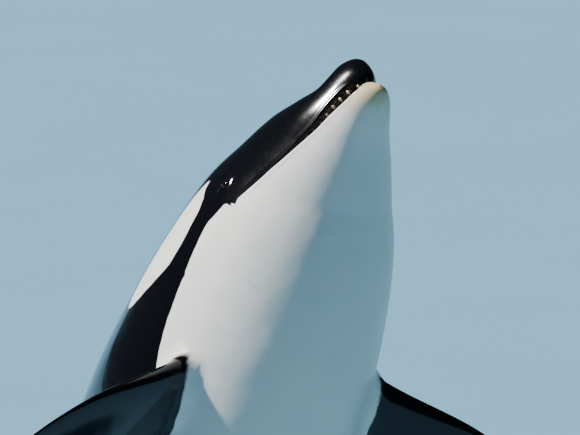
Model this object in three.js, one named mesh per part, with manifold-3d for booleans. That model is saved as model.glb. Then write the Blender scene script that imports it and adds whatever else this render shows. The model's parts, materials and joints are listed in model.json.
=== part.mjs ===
// A killer whale holding its head up out of the water, life size, on a plain display stand.
// Millimetres, +Z up. Before the bank the belly faces +X and the animal's left side faces +Y.
// The origin is on the stand's underside, in the middle of the whole model's length and width.

import * as THREE from "three";
import { mergeVertices } from "three/addons/utils/BufferGeometryUtils.js";
import Module from "manifold-3d";

const wasm = await Module();
wasm.setup();

const degrees = (angle) => (angle * Math.PI) / 180;

// Driving dimensions. A share is a part of the body's length, counted from the snout.
const BODY_LENGTH = 5600;
const HEAD_LEAN = degrees(18);
const TAIL_LEAN = degrees(50);
const STRAIGHT_SHARE = 0.18;
const BANK = degrees(12.5);
const BALANCE_SHARE = 0.39;
const BALANCE_X = 60;
const BALANCE_Y = 0;
const NOTCH_HEIGHT = 370;
const GAP = 0.3;

// Share, height of the back, depth of the belly and half width there, all as shares.
const STATIONS = [
  [0.0, 0.0, 0.0, 0.0],
  [0.004, 0.0086, 0.013, 0.0077],
  [0.012, 0.0133, 0.0178, 0.0137],
  [0.024, 0.0123, 0.0255, 0.0214],
  [0.04, 0.0245, 0.0325, 0.0309],
  [0.06, 0.0422, 0.0405, 0.0397],
  [0.085, 0.0547, 0.0503, 0.0511],
  [0.115, 0.0678, 0.061, 0.0641],
  [0.15, 0.0765, 0.0715, 0.0728],
  [0.2, 0.0865, 0.082, 0.0803],
  [0.27, 0.0935, 0.0885, 0.0862],
  [0.36, 0.0955, 0.0905, 0.086],
  [0.46, 0.0895, 0.083, 0.078],
  [0.57, 0.0745, 0.066, 0.0605],
  [0.68, 0.0565, 0.047, 0.039],
  [0.8, 0.0405, 0.0335, 0.0215],
  [0.9, 0.029, 0.0255, 0.0135],
  [0.955, 0.0155, 0.0135, 0.0115],
  [0.985, 0.0065, 0.006, 0.0085],
];

// The lower jaw: share, depth of its belly, half width, and how low its widest level lies.
const JAW_STATIONS = [
  [0.0035, 0.0275, 0.0, 0.0275],
  [0.006, 0.031, 0.0068, 0.0242],
  [0.0125, 0.0335, 0.013, 0.0215],
  [0.024, 0.035, 0.0192, 0.0182],
  [0.04, 0.0374, 0.0272, 0.013],
  [0.06, 0.0428, 0.0388, 0.007],
  [0.085, 0.0503, 0.0511, 0.0],
];
// Between these shares the jaw's upper half grows into the body's.
const JAW_RISE = 0.02;
const JAW_BLEND = 0.085;

// Share, depth of the line of the mouth below the spine, and how far the lips stand apart.
const MOUTH_STATIONS = [
  [0.0, 0.0186, 0.0002],
  [0.006, 0.0192, 0.0045],
  [0.0095, 0.0189, 0.0078],
  [0.0138, 0.0174, 0.0108],
  [0.0195, 0.0173, 0.0098],
  [0.0271, 0.0171, 0.0078],
  [0.0328, 0.0172, 0.0058],
  [0.041, 0.0178, 0.0036],
  [0.0544, 0.0168, 0.0026],
  [0.0687, 0.0152, 0.0012],
  [0.079, 0.0136, 0.0002],
  [0.101, 0.0095, 0.0002],
];

// Powers of the rounded cross sections. 2 is an ellipse, and less is nearer to a diamond.
const SIDE_POWER = 2.1;
const BACK_POWER = 2.15;
const BELLY_POWER = 2.0;
const KEEL_POWER = 1.7;
const KEEL_START = 0.5;
const KEEL_FULL = 0.85;

// Where the body is divided.
const HEAD_END = 0.135;
const NECK_END = 0.205;
const CHEST_END = 0.36;
const LOIN_END = 0.53;
const BELLY_END = 0.66;
const STOCK_SPLIT = 0.8;
const STOCK_END = 0.985;

const smoothstep = (low, high, value) => {
  const x = Math.min(1, Math.max(0, (value - low) / (high - low)));
  return x * x * (3 - 2 * x);
};
const mix = (a, b, x) => a + (b - a) * x;

// A smooth curve through the stations that never overshoots them, run over the root of the share,
// so that the snout closes as a round nose.
function through(rows, column) {
  const u = rows.map((row) => Math.sqrt(row[0]));
  const y = rows.map((row) => row[column]);
  const step = u.slice(1).map((value, i) => value - u[i]);
  const slope = step.map((width, i) => (y[i + 1] - y[i]) / width);
  const tangent = y.map((_, i) => {
    if (i === 0) return slope[0];
    if (i === y.length - 1) return slope[i - 1];
    if (slope[i - 1] * slope[i] <= 0) return 0;
    const before = 2 * step[i] + step[i - 1];
    const after = step[i] + 2 * step[i - 1];
    return (before + after) / (before / slope[i - 1] + after / slope[i]);
  });
  return (share) => {
    const x = Math.sqrt(Math.max(rows[0][0], share));
    let i = 0;
    while (i < step.length - 1 && x > u[i + 1]) i += 1;
    const t = Math.min(1, (x - u[i]) / step[i]);
    const a = (1 + 2 * t) * (1 - t) ** 2;
    const b = t * (1 - t) ** 2 * step[i];
    const c = t * t * (3 - 2 * t);
    const d = t * t * (t - 1) * step[i];
    return a * y[i] + b * tangent[i] + c * y[i + 1] + d * tangent[i + 1];
  };
}
const backHeight = through(STATIONS, 1);
const bellyDepth = through(STATIONS, 2);
const halfWidth = through(STATIONS, 3);
const jawDepth = through(JAW_STATIONS, 1);
const jawHalfWidth = through(JAW_STATIONS, 2);
const jawLevel = through(JAW_STATIONS, 3);
const mouthDepth = through(MOUTH_STATIONS, 1);
const mouthGap = through(MOUTH_STATIONS, 2);

const leanAt = (share) => mix(HEAD_LEAN, TAIL_LEAN, smoothstep(STRAIGHT_SHARE, 1, share));

// The spine from the snout to the notch, walked in short steps.
const SPINE_STEPS = 1000;
const spineWalk = [[0, 0]];
for (let i = 0; i < SPINE_STEPS; i += 1) {
  const lean = leanAt((i + 0.5) / SPINE_STEPS);
  const [x, z] = spineWalk[i];
  const stride = BODY_LENGTH / SPINE_STEPS;
  spineWalk.push([x - Math.sin(lean) * stride, z - Math.cos(lean) * stride]);
}
function spineAt(share) {
  const walked = Math.max(0, share * SPINE_STEPS);
  const i = Math.min(SPINE_STEPS - 1, Math.floor(walked));
  const [x, z] = [0, 1].map((k) => mix(spineWalk[i][k], spineWalk[i + 1][k], walked - i));
  return { x: share < 0 ? -share * BODY_LENGTH * Math.sin(HEAD_LEAN) : x, z };
}

const banked = (x, y, z) =>
  new THREE.Vector3(
    x,
    y * Math.cos(BANK) + z * Math.sin(BANK),
    -y * Math.sin(BANK) + z * Math.cos(BANK),
  );
const balance = spineAt(BALANCE_SHARE);
const notch = spineAt(1);
const balancePoint = banked(balance.x, 0, balance.z);
const SHIFT = new THREE.Vector3(
  BALANCE_X - balancePoint.x,
  BALANCE_Y - balancePoint.y,
  NOTCH_HEIGHT - banked(notch.x, 0, notch.z).z,
);

// The directions at a share of the spine: towards the head, the back and the left side.
function frameAt(share) {
  const lean = leanAt(share);
  const { x, z } = spineAt(share);
  return {
    origin: banked(x, 0, z).add(SHIFT),
    toHead: banked(Math.sin(lean), 0, Math.cos(lean)),
    toBack: banked(-Math.cos(lean), 0, Math.sin(lean)),
    toLeft: banked(0, 1, 0),
  };
}

// A point in the stand's frame from a share, a distance to the left and one towards the back.
function place(share, left, back) {
  const { origin, toBack, toLeft } = frameAt(Math.max(0, share));
  const point = origin.clone().addScaledVector(toLeft, left).addScaledVector(toBack, back);
  if (share < 0) point.addScaledVector(frameAt(0).toHead, -share * BODY_LENGTH);
  return point;
}

// The body's cross section as distances to the left and towards the back.
function section(share, angle, grow = 0) {
  const cos = Math.cos(angle);
  const sin = Math.sin(angle);
  const keel = smoothstep(KEEL_START, KEEL_FULL, share);
  const upPower = sin >= 0 ? BACK_POWER : BELLY_POWER;
  const upReach = sin >= 0 ? backHeight(share) : bellyDepth(share);
  const power = mix(upPower, KEEL_POWER, keel);
  const left = Math.sign(cos) * Math.abs(cos) ** (2 / mix(SIDE_POWER, KEEL_POWER, keel));
  const back = Math.sign(sin) * Math.abs(sin) ** (2 / power);
  return {
    left: left * (halfWidth(share) * BODY_LENGTH + grow),
    back: back * (upReach * BODY_LENGTH + grow),
  };
}

// How far the lower jaw reaches below and above its widest level.
function jawReach(share) {
  const level = jawLevel(share);
  const down = jawDepth(share) - level;
  const up = mix(down, backHeight(share), smoothstep(JAW_RISE, JAW_BLEND, share));
  return { level, down, up };
}

// The lower jaw's own cross section, which joins the body's behind the mouth.
function jawSection(share, angle) {
  if (share >= JAW_BLEND) return section(share, angle);
  const cos = Math.cos(angle);
  const sin = Math.sin(angle);
  const { level, down, up } = jawReach(share);
  const left = Math.sign(cos) * Math.abs(cos) ** (2 / SIDE_POWER) * jawHalfWidth(share);
  const power = sin >= 0 ? BACK_POWER : BELLY_POWER;
  const back = Math.sign(sin) * Math.abs(sin) ** (2 / power) * (sin >= 0 ? up : down) - level;
  return { left: left * BODY_LENGTH, back: back * BODY_LENGTH };
}

// Half the width of the lower jaw at a given height.
function jawSideAt(share, back) {
  if (share >= JAW_BLEND) return sideAt(share, back);
  const { level, down, up } = jawReach(share);
  const off = back / BODY_LENGTH + level;
  const power = off >= 0 ? BACK_POWER : BELLY_POWER;
  const sin = Math.min(1, Math.abs(off) / (off >= 0 ? up : down)) ** (power / 2);
  return Math.sqrt(1 - sin * sin) ** (2 / SIDE_POWER) * jawHalfWidth(share) * BODY_LENGTH;
}

// Half the width of the head at a given height, for what sits on its side.
function sideAt(share, back) {
  const reach = (back >= 0 ? backHeight(share) : bellyDepth(share)) * BODY_LENGTH;
  const power = back >= 0 ? BACK_POWER : BELLY_POWER;
  const sin = Math.min(1, Math.abs(back) / reach) ** (power / 2);
  return Math.sqrt(1 - sin * sin) ** (2 / SIDE_POWER) * halfWidth(share) * BODY_LENGTH;
}

// A closed mesh from rings of points, with both ends closed by fans.
function loft(rings) {
  const count = rings[0].length;
  const centre = (ring) =>
    ring.reduce((sum, p) => sum.add(p), new THREE.Vector3()).divideScalar(count);
  const points = rings.flat();
  const first = points.push(centre(rings[0])) - 1;
  const last = points.push(centre(rings[rings.length - 1])) - 1;
  const index = [];
  for (let i = 0; i < rings.length - 1; i += 1) {
    for (let j = 0; j < count; j += 1) {
      const a = i * count + j;
      const b = i * count + ((j + 1) % count);
      const [c, d] = [a + count, b + count];
      // The diagonals mirror from one face to the other.
      if (j < count / 2) index.push(a, b, d, a, d, c);
      else index.push(a, b, c, b, d, c);
    }
  }
  const end = (rings.length - 1) * count;
  for (let j = 0; j < count; j += 1) {
    const next = (j + 1) % count;
    index.push(first, next, j, last, end + j, end + next);
  }
  return closed(points, index);
}

// The triangles turned so that they face outwards, whichever way the shape was made.
function facingOut(position, index) {
  const corner = (i) => new THREE.Vector3().fromArray(position, index[i] * 3);
  let volume = 0;
  for (let i = 0; i < index.length; i += 3) {
    volume += corner(i).dot(corner(i + 1).cross(corner(i + 2)));
  }
  return volume < 0 ? index.slice().reverse() : index;
}

const closed = (points, index) => new THREE.BufferGeometry().setFromPoints(points).setIndex(index);

const MERGE_DISTANCE = 0.001;
function solidOf(geometry) {
  const bare = geometry.clone();
  bare.deleteAttribute("normal");
  bare.deleteAttribute("uv");
  const merged = mergeVertices(bare, MERGE_DISTANCE);
  const vertProperties = merged.attributes.position.array;
  const triVerts = facingOut(vertProperties, new Uint32Array(merged.index.array));
  return new wasm.Manifold(new wasm.Mesh({ numProp: 3, vertProperties, triVerts }));
}

// A geometry whose points are moved one by one.
function reshaped(geometry, move) {
  const position = geometry.attributes.position;
  for (let i = 0; i < position.count; i += 1) {
    const point = move(new THREE.Vector3().fromBufferAttribute(position, i));
    position.setXYZ(i, point.x, point.y, point.z);
  }
  return geometry;
}

const largestOf = (solid) =>
  solid.decompose().reduce((best, piece) => (piece.volume() > best.volume() ? piece : best));

function geometryOf(solid) {
  const { numProp, numVert, vertProperties, triVerts } = solid.getMesh();
  const position = new Float32Array(numVert * 3);
  for (let i = 0; i < numVert; i += 1) {
    position.set(vertProperties.subarray(i * numProp, i * numProp + 3), i * 3);
  }
  return new THREE.BufferGeometry()
    .setAttribute("position", new THREE.BufferAttribute(position, 3))
    .setIndex(new THREE.BufferAttribute(triVerts, 1));
}

const unionOf = (solids) => wasm.Manifold.union(solids);

// The body in lengths. Rings lie close together at the snout and further apart behind it.
const HEAD_RINGS = 22;
const HEAD_CROWDING = 1.5;
const BODY_STEP = 0.03;
const HEAD_SIDES = 48;
const BODY_SIDES = 36;
const RING_CLEARANCE = 0.001;
const ringShares = [];
for (let i = 1; i <= HEAD_RINGS; i += 1) {
  ringShares.push(HEAD_END * (i / HEAD_RINGS) ** HEAD_CROWDING);
}
const bodySteps = Math.round((STOCK_END - HEAD_END) / BODY_STEP);
for (let i = 1; i <= bodySteps; i += 1) {
  ringShares.push(mix(HEAD_END, STOCK_END, i / bodySteps));
}

function bodyLength(from, to, sides, sectionAt) {
  const inside = ringShares.filter(
    (share) => share > from + RING_CLEARANCE && share < to - RING_CLEARANCE,
  );
  const rings = [from, ...inside, to].map((share) => {
    const ring = [];
    for (let j = 0; j < sides; j += 1) {
      const { left, back } = sectionAt(share, (2 * Math.PI * j) / sides);
      ring.push(place(share, left, back));
    }
    return ring;
  });
  return solidOf(loft(rings));
}

const HALF_GAP = GAP / 2 / BODY_LENGTH;
const division = (from, to) => bodyLength(from + HALF_GAP, to - HALF_GAP, BODY_SIDES, section);
const grownBody = (from, to) =>
  bodyLength(from, to, BODY_SIDES, (share, angle) => section(share, angle, GAP));

// The mouth, as far back as its corners.
const GAPE_SHARE = 0.101;
const JAW_FOOT_SHARE = 0.139;
const MOUTH_STEPS = 24;

const mouthLine = (share) => -mouthDepth(Math.min(GAPE_SHARE, share)) * BODY_LENGTH;
const lipsApart = (share) => mouthGap(Math.min(GAPE_SHARE, share)) * BODY_LENGTH;

// A prism across the whole head, outlined in shares and heights.
const PRISM_WIDTH = 1400;
function headPrism(outline) {
  const shape = new THREE.Shape(outline.map(([s, back]) => new THREE.Vector2(s, back)));
  const block = new THREE.ExtrudeGeometry(shape, { depth: PRISM_WIDTH, bevelEnabled: false });
  return solidOf(reshaped(block, (v) => place(v.x, v.z - PRISM_WIDTH / 2, v.y)));
}

// All that lies below the mouth: of the upper lip where side is 1, of the lower lip where it is -1.
function belowMouth(side, rearShift) {
  const ahead = -0.03;
  const under = -0.1 * BODY_LENGTH;
  const lip = (share) => mouthLine(share) + (side * lipsApart(share)) / 2;
  const outline = [[ahead, lip(0)]];
  for (let i = 0; i < MOUTH_STEPS; i += 1) {
    const share = (GAPE_SHARE * i) / MOUTH_STEPS;
    outline.push([share, lip(share)]);
  }
  outline.push([GAPE_SHARE + rearShift, lip(GAPE_SHARE)]);
  outline.push([JAW_FOOT_SHARE + rearShift, under], [ahead, under]);
  return headPrism(outline);
}

// A rounded ridge along a line of points, thinner at its ends.
const RIDGE_SIDES = 8;
const RIDGE_END = 0.4;
const RIDGE_SWELLING = 3;
function ridge(points, radius) {
  const { toBack } = frameAt(0);
  const rings = points.map((point, i) => {
    const before = points[Math.max(0, i - 1)];
    const after = points[Math.min(points.length - 1, i + 1)];
    const along = after.clone().sub(before).normalize();
    const aside = new THREE.Vector3().crossVectors(along, toBack).normalize();
    const up = new THREE.Vector3().crossVectors(aside, along);
    const middle = Math.sin((Math.PI * (i + 0.5)) / points.length);
    const r = radius * mix(RIDGE_END, 1, Math.min(1, RIDGE_SWELLING * middle));
    const ring = [];
    for (let j = 0; j < RIDGE_SIDES; j += 1) {
      const angle = (2 * Math.PI * (j + 0.5)) / RIDGE_SIDES;
      ring.push(
        point
          .clone()
          .addScaledVector(aside, r * Math.cos(angle))
          .addScaledVector(up, r * Math.sin(angle)),
      );
    }
    return ring;
  });
  return solidOf(loft(rings));
}

// The lips run round the front of each jaw from one corner of the mouth to the other.
const LIP_RADIUS = 9;
const LIP_SUNK = 0.6 * LIP_RADIUS;
const LIP_CLEARANCE = 0.5;
const LIP_STEPS = 14;
const LIP_CROWDING = 1.7;
const UPPER_LIP_FRONT = 0.0045;
const LOWER_LIP_FRONT = 0.0048;
const LIP_REAR = 0.097;
const UPPER_LIP_LOWEST = 0.9;
function lipPath(front, heightAt, widthAt) {
  const half = [];
  for (let i = 0; i <= LIP_STEPS; i += 1) {
    const share = mix(front, LIP_REAR, (i / LIP_STEPS) ** LIP_CROWDING);
    const back = heightAt(share);
    half.push([share, i === 0 ? 0 : Math.max(0, widthAt(share, back) - LIP_SUNK), back]);
  }
  const left = half.map(([share, side, back]) => place(share, side, back));
  const right = half.slice(1).map(([share, side, back]) => place(share, -side, back));
  return [...right.reverse(), ...left];
}
const upperLipHeight = (share) =>
  Math.max(
    mouthLine(share) + lipsApart(share) / 2 + LIP_RADIUS + LIP_CLEARANCE,
    -UPPER_LIP_LOWEST * bellyDepth(share) * BODY_LENGTH,
  );
const lowerLipHeight = (share) =>
  mouthLine(share) - lipsApart(share) / 2 - LIP_RADIUS - LIP_CLEARANCE;

// The teeth stand in a row inside each lip, larger at the middle of the row.
const TEETH_A_SIDE = 10;
const TEETH_FRONT = 0.0105;
const TEETH_REAR = 0.066;
const TOOTH_RADIUS = 10.5;
const TOOTH_TIP = 0.25;
const TOOTH_SIDES = 6;
const TOOTH_INSET = 20;
const TOOTH_ROOT = 16;
const END_TOOTH = 0.75;
const UPPER_SHOWN = 0.42;
const LOWER_SHOWN = 0.36;
function teeth(upper) {
  const row = [];
  const sign = upper ? -1 : 1;
  for (let i = 0; i < TEETH_A_SIDE; i += 1) {
    const along = (i + (upper ? 0.25 : 0.75)) / TEETH_A_SIDE;
    const share = mix(TEETH_FRONT, TEETH_REAR, along);
    const reach = lipsApart(share) * (upper ? UPPER_SHOWN : LOWER_SHOWN);
    const height = TOOTH_ROOT + reach;
    const lip = mouthLine(share) - (sign * lipsApart(share)) / 2;
    const side = (upper ? sideAt : jawSideAt)(share, lip) - TOOTH_INSET;
    for (const hand of [-1, 1]) {
      const radius = TOOTH_RADIUS * mix(END_TOOTH, 1, Math.sin(Math.PI * along));
      const cone = new THREE.CylinderGeometry(radius * TOOTH_TIP, radius, height, TOOTH_SIDES);
      const { toHead, toBack, toLeft, origin } = frameAt(share);
      const upright = new THREE.Matrix4().makeBasis(
        toLeft.clone().multiplyScalar(sign),
        toBack.clone().multiplyScalar(sign),
        toHead.clone().negate(),
      );
      const middle = lip + (sign * (reach - TOOTH_ROOT)) / 2;
      upright.setPosition(
        origin.clone().addScaledVector(toLeft, hand * side).addScaledVector(toBack, middle),
      );
      row.push(solidOf(cone.applyMatrix4(upright)));
    }
  }
  return row;
}

// The eyes, with a lid round each.
const EYE_SHARE = 0.1012;
const EYE_BACK = 0.0088 * BODY_LENGTH;
const EYE_RADIUS = 23;
const EYE_SUNK = 13;
const EYE_SIDES = 16;
const EYE_RINGS = 10;
const LID_LENGTH = 25;
const LID_HEIGHT = 17;
const LID_ROLL = 7;
const LID_RISE = 2;
const LID_TURNS = 16;
const LID_SIDES = 8;
const LID_CORNER = 0.35;
const SKIN_STEP = 10;

// The frame of the skin at an eye: along the head, up it and out of it.
function skinFrame(side) {
  const at = (s, b) => place(s, side * sideAt(s, b), b);
  const aside = SKIN_STEP / BODY_LENGTH;
  const point = at(EYE_SHARE, EYE_BACK);
  const along = at(EYE_SHARE - aside, EYE_BACK).sub(at(EYE_SHARE + aside, EYE_BACK)).normalize();
  const rise = at(EYE_SHARE, EYE_BACK + SKIN_STEP).sub(at(EYE_SHARE, EYE_BACK - SKIN_STEP));
  const up = rise.addScaledVector(along, -rise.dot(along)).normalize();
  const out = new THREE.Vector3().crossVectors(along, up).normalize();
  if (out.dot(frameAt(EYE_SHARE).toLeft) * side < 0) out.negate();
  return { point, along, up, out };
}
function eyeball(side, grow = 0) {
  const { point, out } = skinFrame(side);
  const ball = new THREE.SphereGeometry(EYE_RADIUS + grow, EYE_SIDES, EYE_RINGS);
  const centre = point.clone().addScaledVector(out, -EYE_SUNK);
  return solidOf(ball.translate(centre.x, centre.y, centre.z));
}
function eyelid(side) {
  const { point, along, up, out } = skinFrame(side);
  const rings = [];
  for (let i = 0; i < LID_TURNS; i += 1) {
    const a = (2 * Math.PI * i) / LID_TURNS;
    const taper = 1 - LID_CORNER * Math.cos(a) ** 8;
    const centre = point
      .clone()
      .addScaledVector(along, LID_LENGTH * Math.cos(a))
      .addScaledVector(up, LID_HEIGHT * Math.sin(a) * taper)
      .addScaledVector(out, LID_RISE);
    const outward = along
      .clone()
      .multiplyScalar(Math.cos(a))
      .addScaledVector(up, Math.sin(a))
      .normalize();
    const ring = [];
    for (let j = 0; j < LID_SIDES; j += 1) {
      const b = (2 * Math.PI * j) / LID_SIDES;
      ring.push(
        centre
          .clone()
          .addScaledVector(outward, LID_ROLL * Math.cos(b))
          .addScaledVector(out, LID_ROLL * Math.sin(b)),
      );
    }
    rings.push(ring);
  }
  return solidOf(closedLoop(rings));
}

// Rings joined end to end, as in a torus.
function closedLoop(rings) {
  const count = rings[0].length;
  const index = [];
  rings.forEach((_, i) => {
    const next = (i + 1) % rings.length;
    for (let j = 0; j < count; j += 1) {
      const k = (j + 1) % count;
      const [a, b, c, d] = [i * count + j, i * count + k, next * count + j, next * count + k];
      index.push(a, b, d, a, d, c);
    }
  });
  return closed(rings.flat(), index);
}

// The blowhole: a low cushion on top of the head with a curved slit in it, open towards the snout.
const BLOWHOLE_SHARE = 0.119;
const BLOWHOLE_HALF = 42;
const BLOWHOLE_RISE = 7;
const CUSHION_HALF_LENGTH = 62;
const CUSHION_HALF_WIDTH = 74;
const CUSHION_SUNK = 26;
const CUSHION_SIDES = 16;
const CUSHION_RINGS = 10;
const SLIT_RADIUS = 6;
const SLIT_SUNK = 3;
const SLIT_DROP = 9;
const SLIT_AHEAD = 14;
const SLIT_BEND = 26;
const SLIT_STEPS = 8;
function blowholeCushion() {
  const middle = backHeight(BLOWHOLE_SHARE) * BODY_LENGTH - CUSHION_SUNK;
  const tall = CUSHION_SUNK + BLOWHOLE_RISE;
  const pad = new THREE.SphereGeometry(1, CUSHION_SIDES, CUSHION_RINGS);
  const shaped = reshaped(pad, ({ x, y, z }) => {
    const share = BLOWHOLE_SHARE + (x * CUSHION_HALF_LENGTH) / BODY_LENGTH;
    return place(share, y * CUSHION_HALF_WIDTH, middle + z * tall);
  });
  return solidOf(shaped);
}
function blowholeSlit() {
  const points = [];
  for (let i = 0; i <= SLIT_STEPS; i += 1) {
    const a = mix(-1, 1, i / SLIT_STEPS);
    const share = BLOWHOLE_SHARE + (SLIT_AHEAD - SLIT_BEND * a * a) / BODY_LENGTH;
    const sunk = SLIT_SUNK + SLIT_DROP * a * a;
    const back = backHeight(share) * BODY_LENGTH + BLOWHOLE_RISE - sunk;
    points.push(place(share, BLOWHOLE_HALF * a, back));
  }
  return ridge(points, SLIT_RADIUS);
}

// The head with its upper jaw, and the lower jaw, cut along the line of the mouth.
function buildHead() {
  const end = HEAD_END - HALF_GAP;
  const lids = [-1, 1].map(eyelid);
  const sockets = [-1, 1].map((side) => eyeball(side, GAP));
  const upper = bodyLength(HALF_GAP, end, HEAD_SIDES, section).subtract(
    belowMouth(1, GAP / BODY_LENGTH),
  );
  const upperLip = ridge(lipPath(UPPER_LIP_FRONT, upperLipHeight, sideAt), LIP_RADIUS);
  const head = unionOf([upper, upperLip, ...teeth(true), ...lids, blowholeCushion()]).subtract(
    unionOf([...sockets, blowholeSlit()]),
  );
  const jawForm = bodyLength(JAW_STATIONS[0][0] + HALF_GAP, end, HEAD_SIDES, jawSection);
  const lowerLip = ridge(lipPath(LOWER_LIP_FRONT, lowerLipHeight, jawSideAt), LIP_RADIUS);
  const lower = unionOf([jawForm, lowerLip]).intersect(belowMouth(-1, 0));
  const jaw = unionOf([lower, ...teeth(false)]);
  return { head: largestOf(head.subtract(jaw)), jaw: largestOf(jaw) };
}

// A fin as a row of rounded blades from its root to its tip, blunt in front and thin behind.
// Its stations crowd towards the tip.
const FIN_SIDES = 16;
const FIN_BLUNTNESS = 0.35;
function finStations(root, tip, steps, crowding) {
  const stations = [];
  for (let i = 0; i <= steps; i += 1) {
    stations.push(mix(root, tip, 1 - (1 - i / steps) ** crowding));
  }
  return stations;
}
function fin(stations, centreAt, chordAt, thicknessAt, chordWay, flatWay) {
  const rings = stations.map((s) => {
    const ring = [];
    for (let j = 0; j < FIN_SIDES; j += 1) {
      const a = (2 * Math.PI * (j + 0.5)) / FIN_SIDES;
      const along = (Math.cos(a) * chordAt(s)) / 2;
      const across = (Math.sin(a) * (1 + FIN_BLUNTNESS * Math.cos(a)) * thicknessAt(s)) / 2;
      ring.push(centreAt(s).addScaledVector(chordWay, along).addScaledVector(flatWay, across));
    }
    return ring;
  });
  return solidOf(loft(rings));
}

// The flippers: round paddles held out to the sides, a little towards the belly and the tail.
const FLIPPER_SHARE = 0.238;
const FLIPPER_BACK = -0.041 * BODY_LENGTH;
const FLIPPER_REACH = 0.168 * BODY_LENGTH;
const FLIPPER_CHORD = 0.087 * BODY_LENGTH;
const FLIPPER_THICK = 120;
const FLIPPER_TIP_THICK = 34;
const FLIPPER_OUTWARDS = 0.87;
const FLIPPER_DOWNWARDS = 0.4;
const FLIPPER_TAILWARDS = 0.28;
const FLIPPER_SWEEP = 70;
const FLIPPER_CURL = 60;
const FLIPPER_ROOT = -0.14;
const FLIPPER_TIP = 0.998;
const FLIPPER_ROOT_WIDTH = 0.8;
const FLIPPER_WIDEST = 0.45;
const FLIPPER_STEPS = 12;
const FLIPPER_CROWDING = 1.7;

function flipperOutline(s) {
  const widening = mix(FLIPPER_ROOT_WIDTH, 1, smoothstep(-0.05, FLIPPER_WIDEST, s));
  const beyond = Math.max(0, s - FLIPPER_WIDEST) / (1 - FLIPPER_WIDEST);
  return widening * Math.sqrt(1 - beyond ** 2.3);
}
function flipper(side) {
  const { toHead, toBack, toLeft } = frameAt(FLIPPER_SHARE);
  const root = place(FLIPPER_SHARE, side * sideAt(FLIPPER_SHARE, FLIPPER_BACK), FLIPPER_BACK);
  const span = new THREE.Vector3()
    .addScaledVector(toLeft, side * FLIPPER_OUTWARDS)
    .addScaledVector(toBack, -FLIPPER_DOWNWARDS)
    .addScaledVector(toHead, -FLIPPER_TAILWARDS)
    .normalize();
  const chord = toHead.clone().addScaledVector(span, -toHead.dot(span)).normalize();
  const flat = new THREE.Vector3().crossVectors(span, chord).normalize();
  if (flat.dot(toBack) < 0) flat.negate();
  const thinning = (s) => mix(FLIPPER_THICK, FLIPPER_TIP_THICK, smoothstep(-0.1, 0.8, s));
  return fin(
    finStations(FLIPPER_ROOT, FLIPPER_TIP, FLIPPER_STEPS, FLIPPER_CROWDING),
    (s) =>
      root
        .clone()
        .addScaledVector(span, s * FLIPPER_REACH)
        .addScaledVector(chord, -FLIPPER_SWEEP * s * s)
        .addScaledVector(flat, FLIPPER_CURL * s * s),
    (s) => FLIPPER_CHORD * flipperOutline(s),
    (s) => thinning(s) * Math.sqrt(flipperOutline(s)),
    chord,
    flat,
  );
}

// The dorsal fin: upright and swept back, hollow behind. Both edges are measured from the front
// of its root, in lengths of that root, at each part h of its height.
const DORSAL_FRONT = 0.372;
const DORSAL_REAR = 0.516;
const DORSAL_HEIGHT = 0.148 * BODY_LENGTH;
const DORSAL_THICK = 120;
const DORSAL_TIP_THICK = 22;
const DORSAL_ROOT = -0.16;
const DORSAL_TIP = 0.995;
const DORSAL_ROUNDED = 0.8;
const DORSAL_STEPS = 11;
const DORSAL_CROWDING = 1.4;

const dorsalLead = (h) => 0.72 * Math.max(h, 0) ** 1.2 + 0.27 * Math.max(h, 0) ** 3;
const dorsalTrail = (h) => 1 - 0.5 * Math.max(h, 0) ** 0.8 * (1 - h) + 0.1 * h;
function dorsalRounding(h) {
  const beyond = Math.max(0, h - DORSAL_ROUNDED) / (1 - DORSAL_ROUNDED);
  return Math.sqrt(1 - beyond ** 3);
}
function dorsalFin() {
  const base = (DORSAL_REAR - DORSAL_FRONT) * BODY_LENGTH;
  const { toHead, toBack, toLeft } = frameAt((DORSAL_FRONT + DORSAL_REAR) / 2);
  const front = place(DORSAL_FRONT, 0, backHeight(DORSAL_FRONT) * BODY_LENGTH);
  const thinning = (h) => mix(DORSAL_THICK, DORSAL_TIP_THICK, Math.max(h, 0) ** 0.7);
  return fin(
    finStations(DORSAL_ROOT, DORSAL_TIP, DORSAL_STEPS, DORSAL_CROWDING),
    (h) =>
      front
        .clone()
        .addScaledVector(toBack, h * DORSAL_HEIGHT)
        .addScaledVector(toHead, (-base * (dorsalLead(h) + dorsalTrail(h))) / 2),
    (h) => base * (dorsalTrail(h) - dorsalLead(h)) * mix(0.35, 1, dorsalRounding(h)),
    (h) => thinning(h) * mix(0.5, 1, dorsalRounding(h)),
    toHead,
    toLeft,
  );
}

// The flukes: one blade each side, with a notch between them. Both edges are measured from the
// notch, in lengths of the root, at each part u of a fluke's reach.
const FLUKE_REACH = 0.13 * BODY_LENGTH;
const FLUKE_ROOT_CHORD = 0.082 * BODY_LENGTH;
const FLUKE_THICK = 74;
const FLUKE_TIP_THICK = 16;
const FLUKE_DROOP = 40;
const FLUKE_TIP = 0.995;
const FLUKE_STEPS = 11;
const FLUKE_CROWDING = 1.25;

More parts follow.
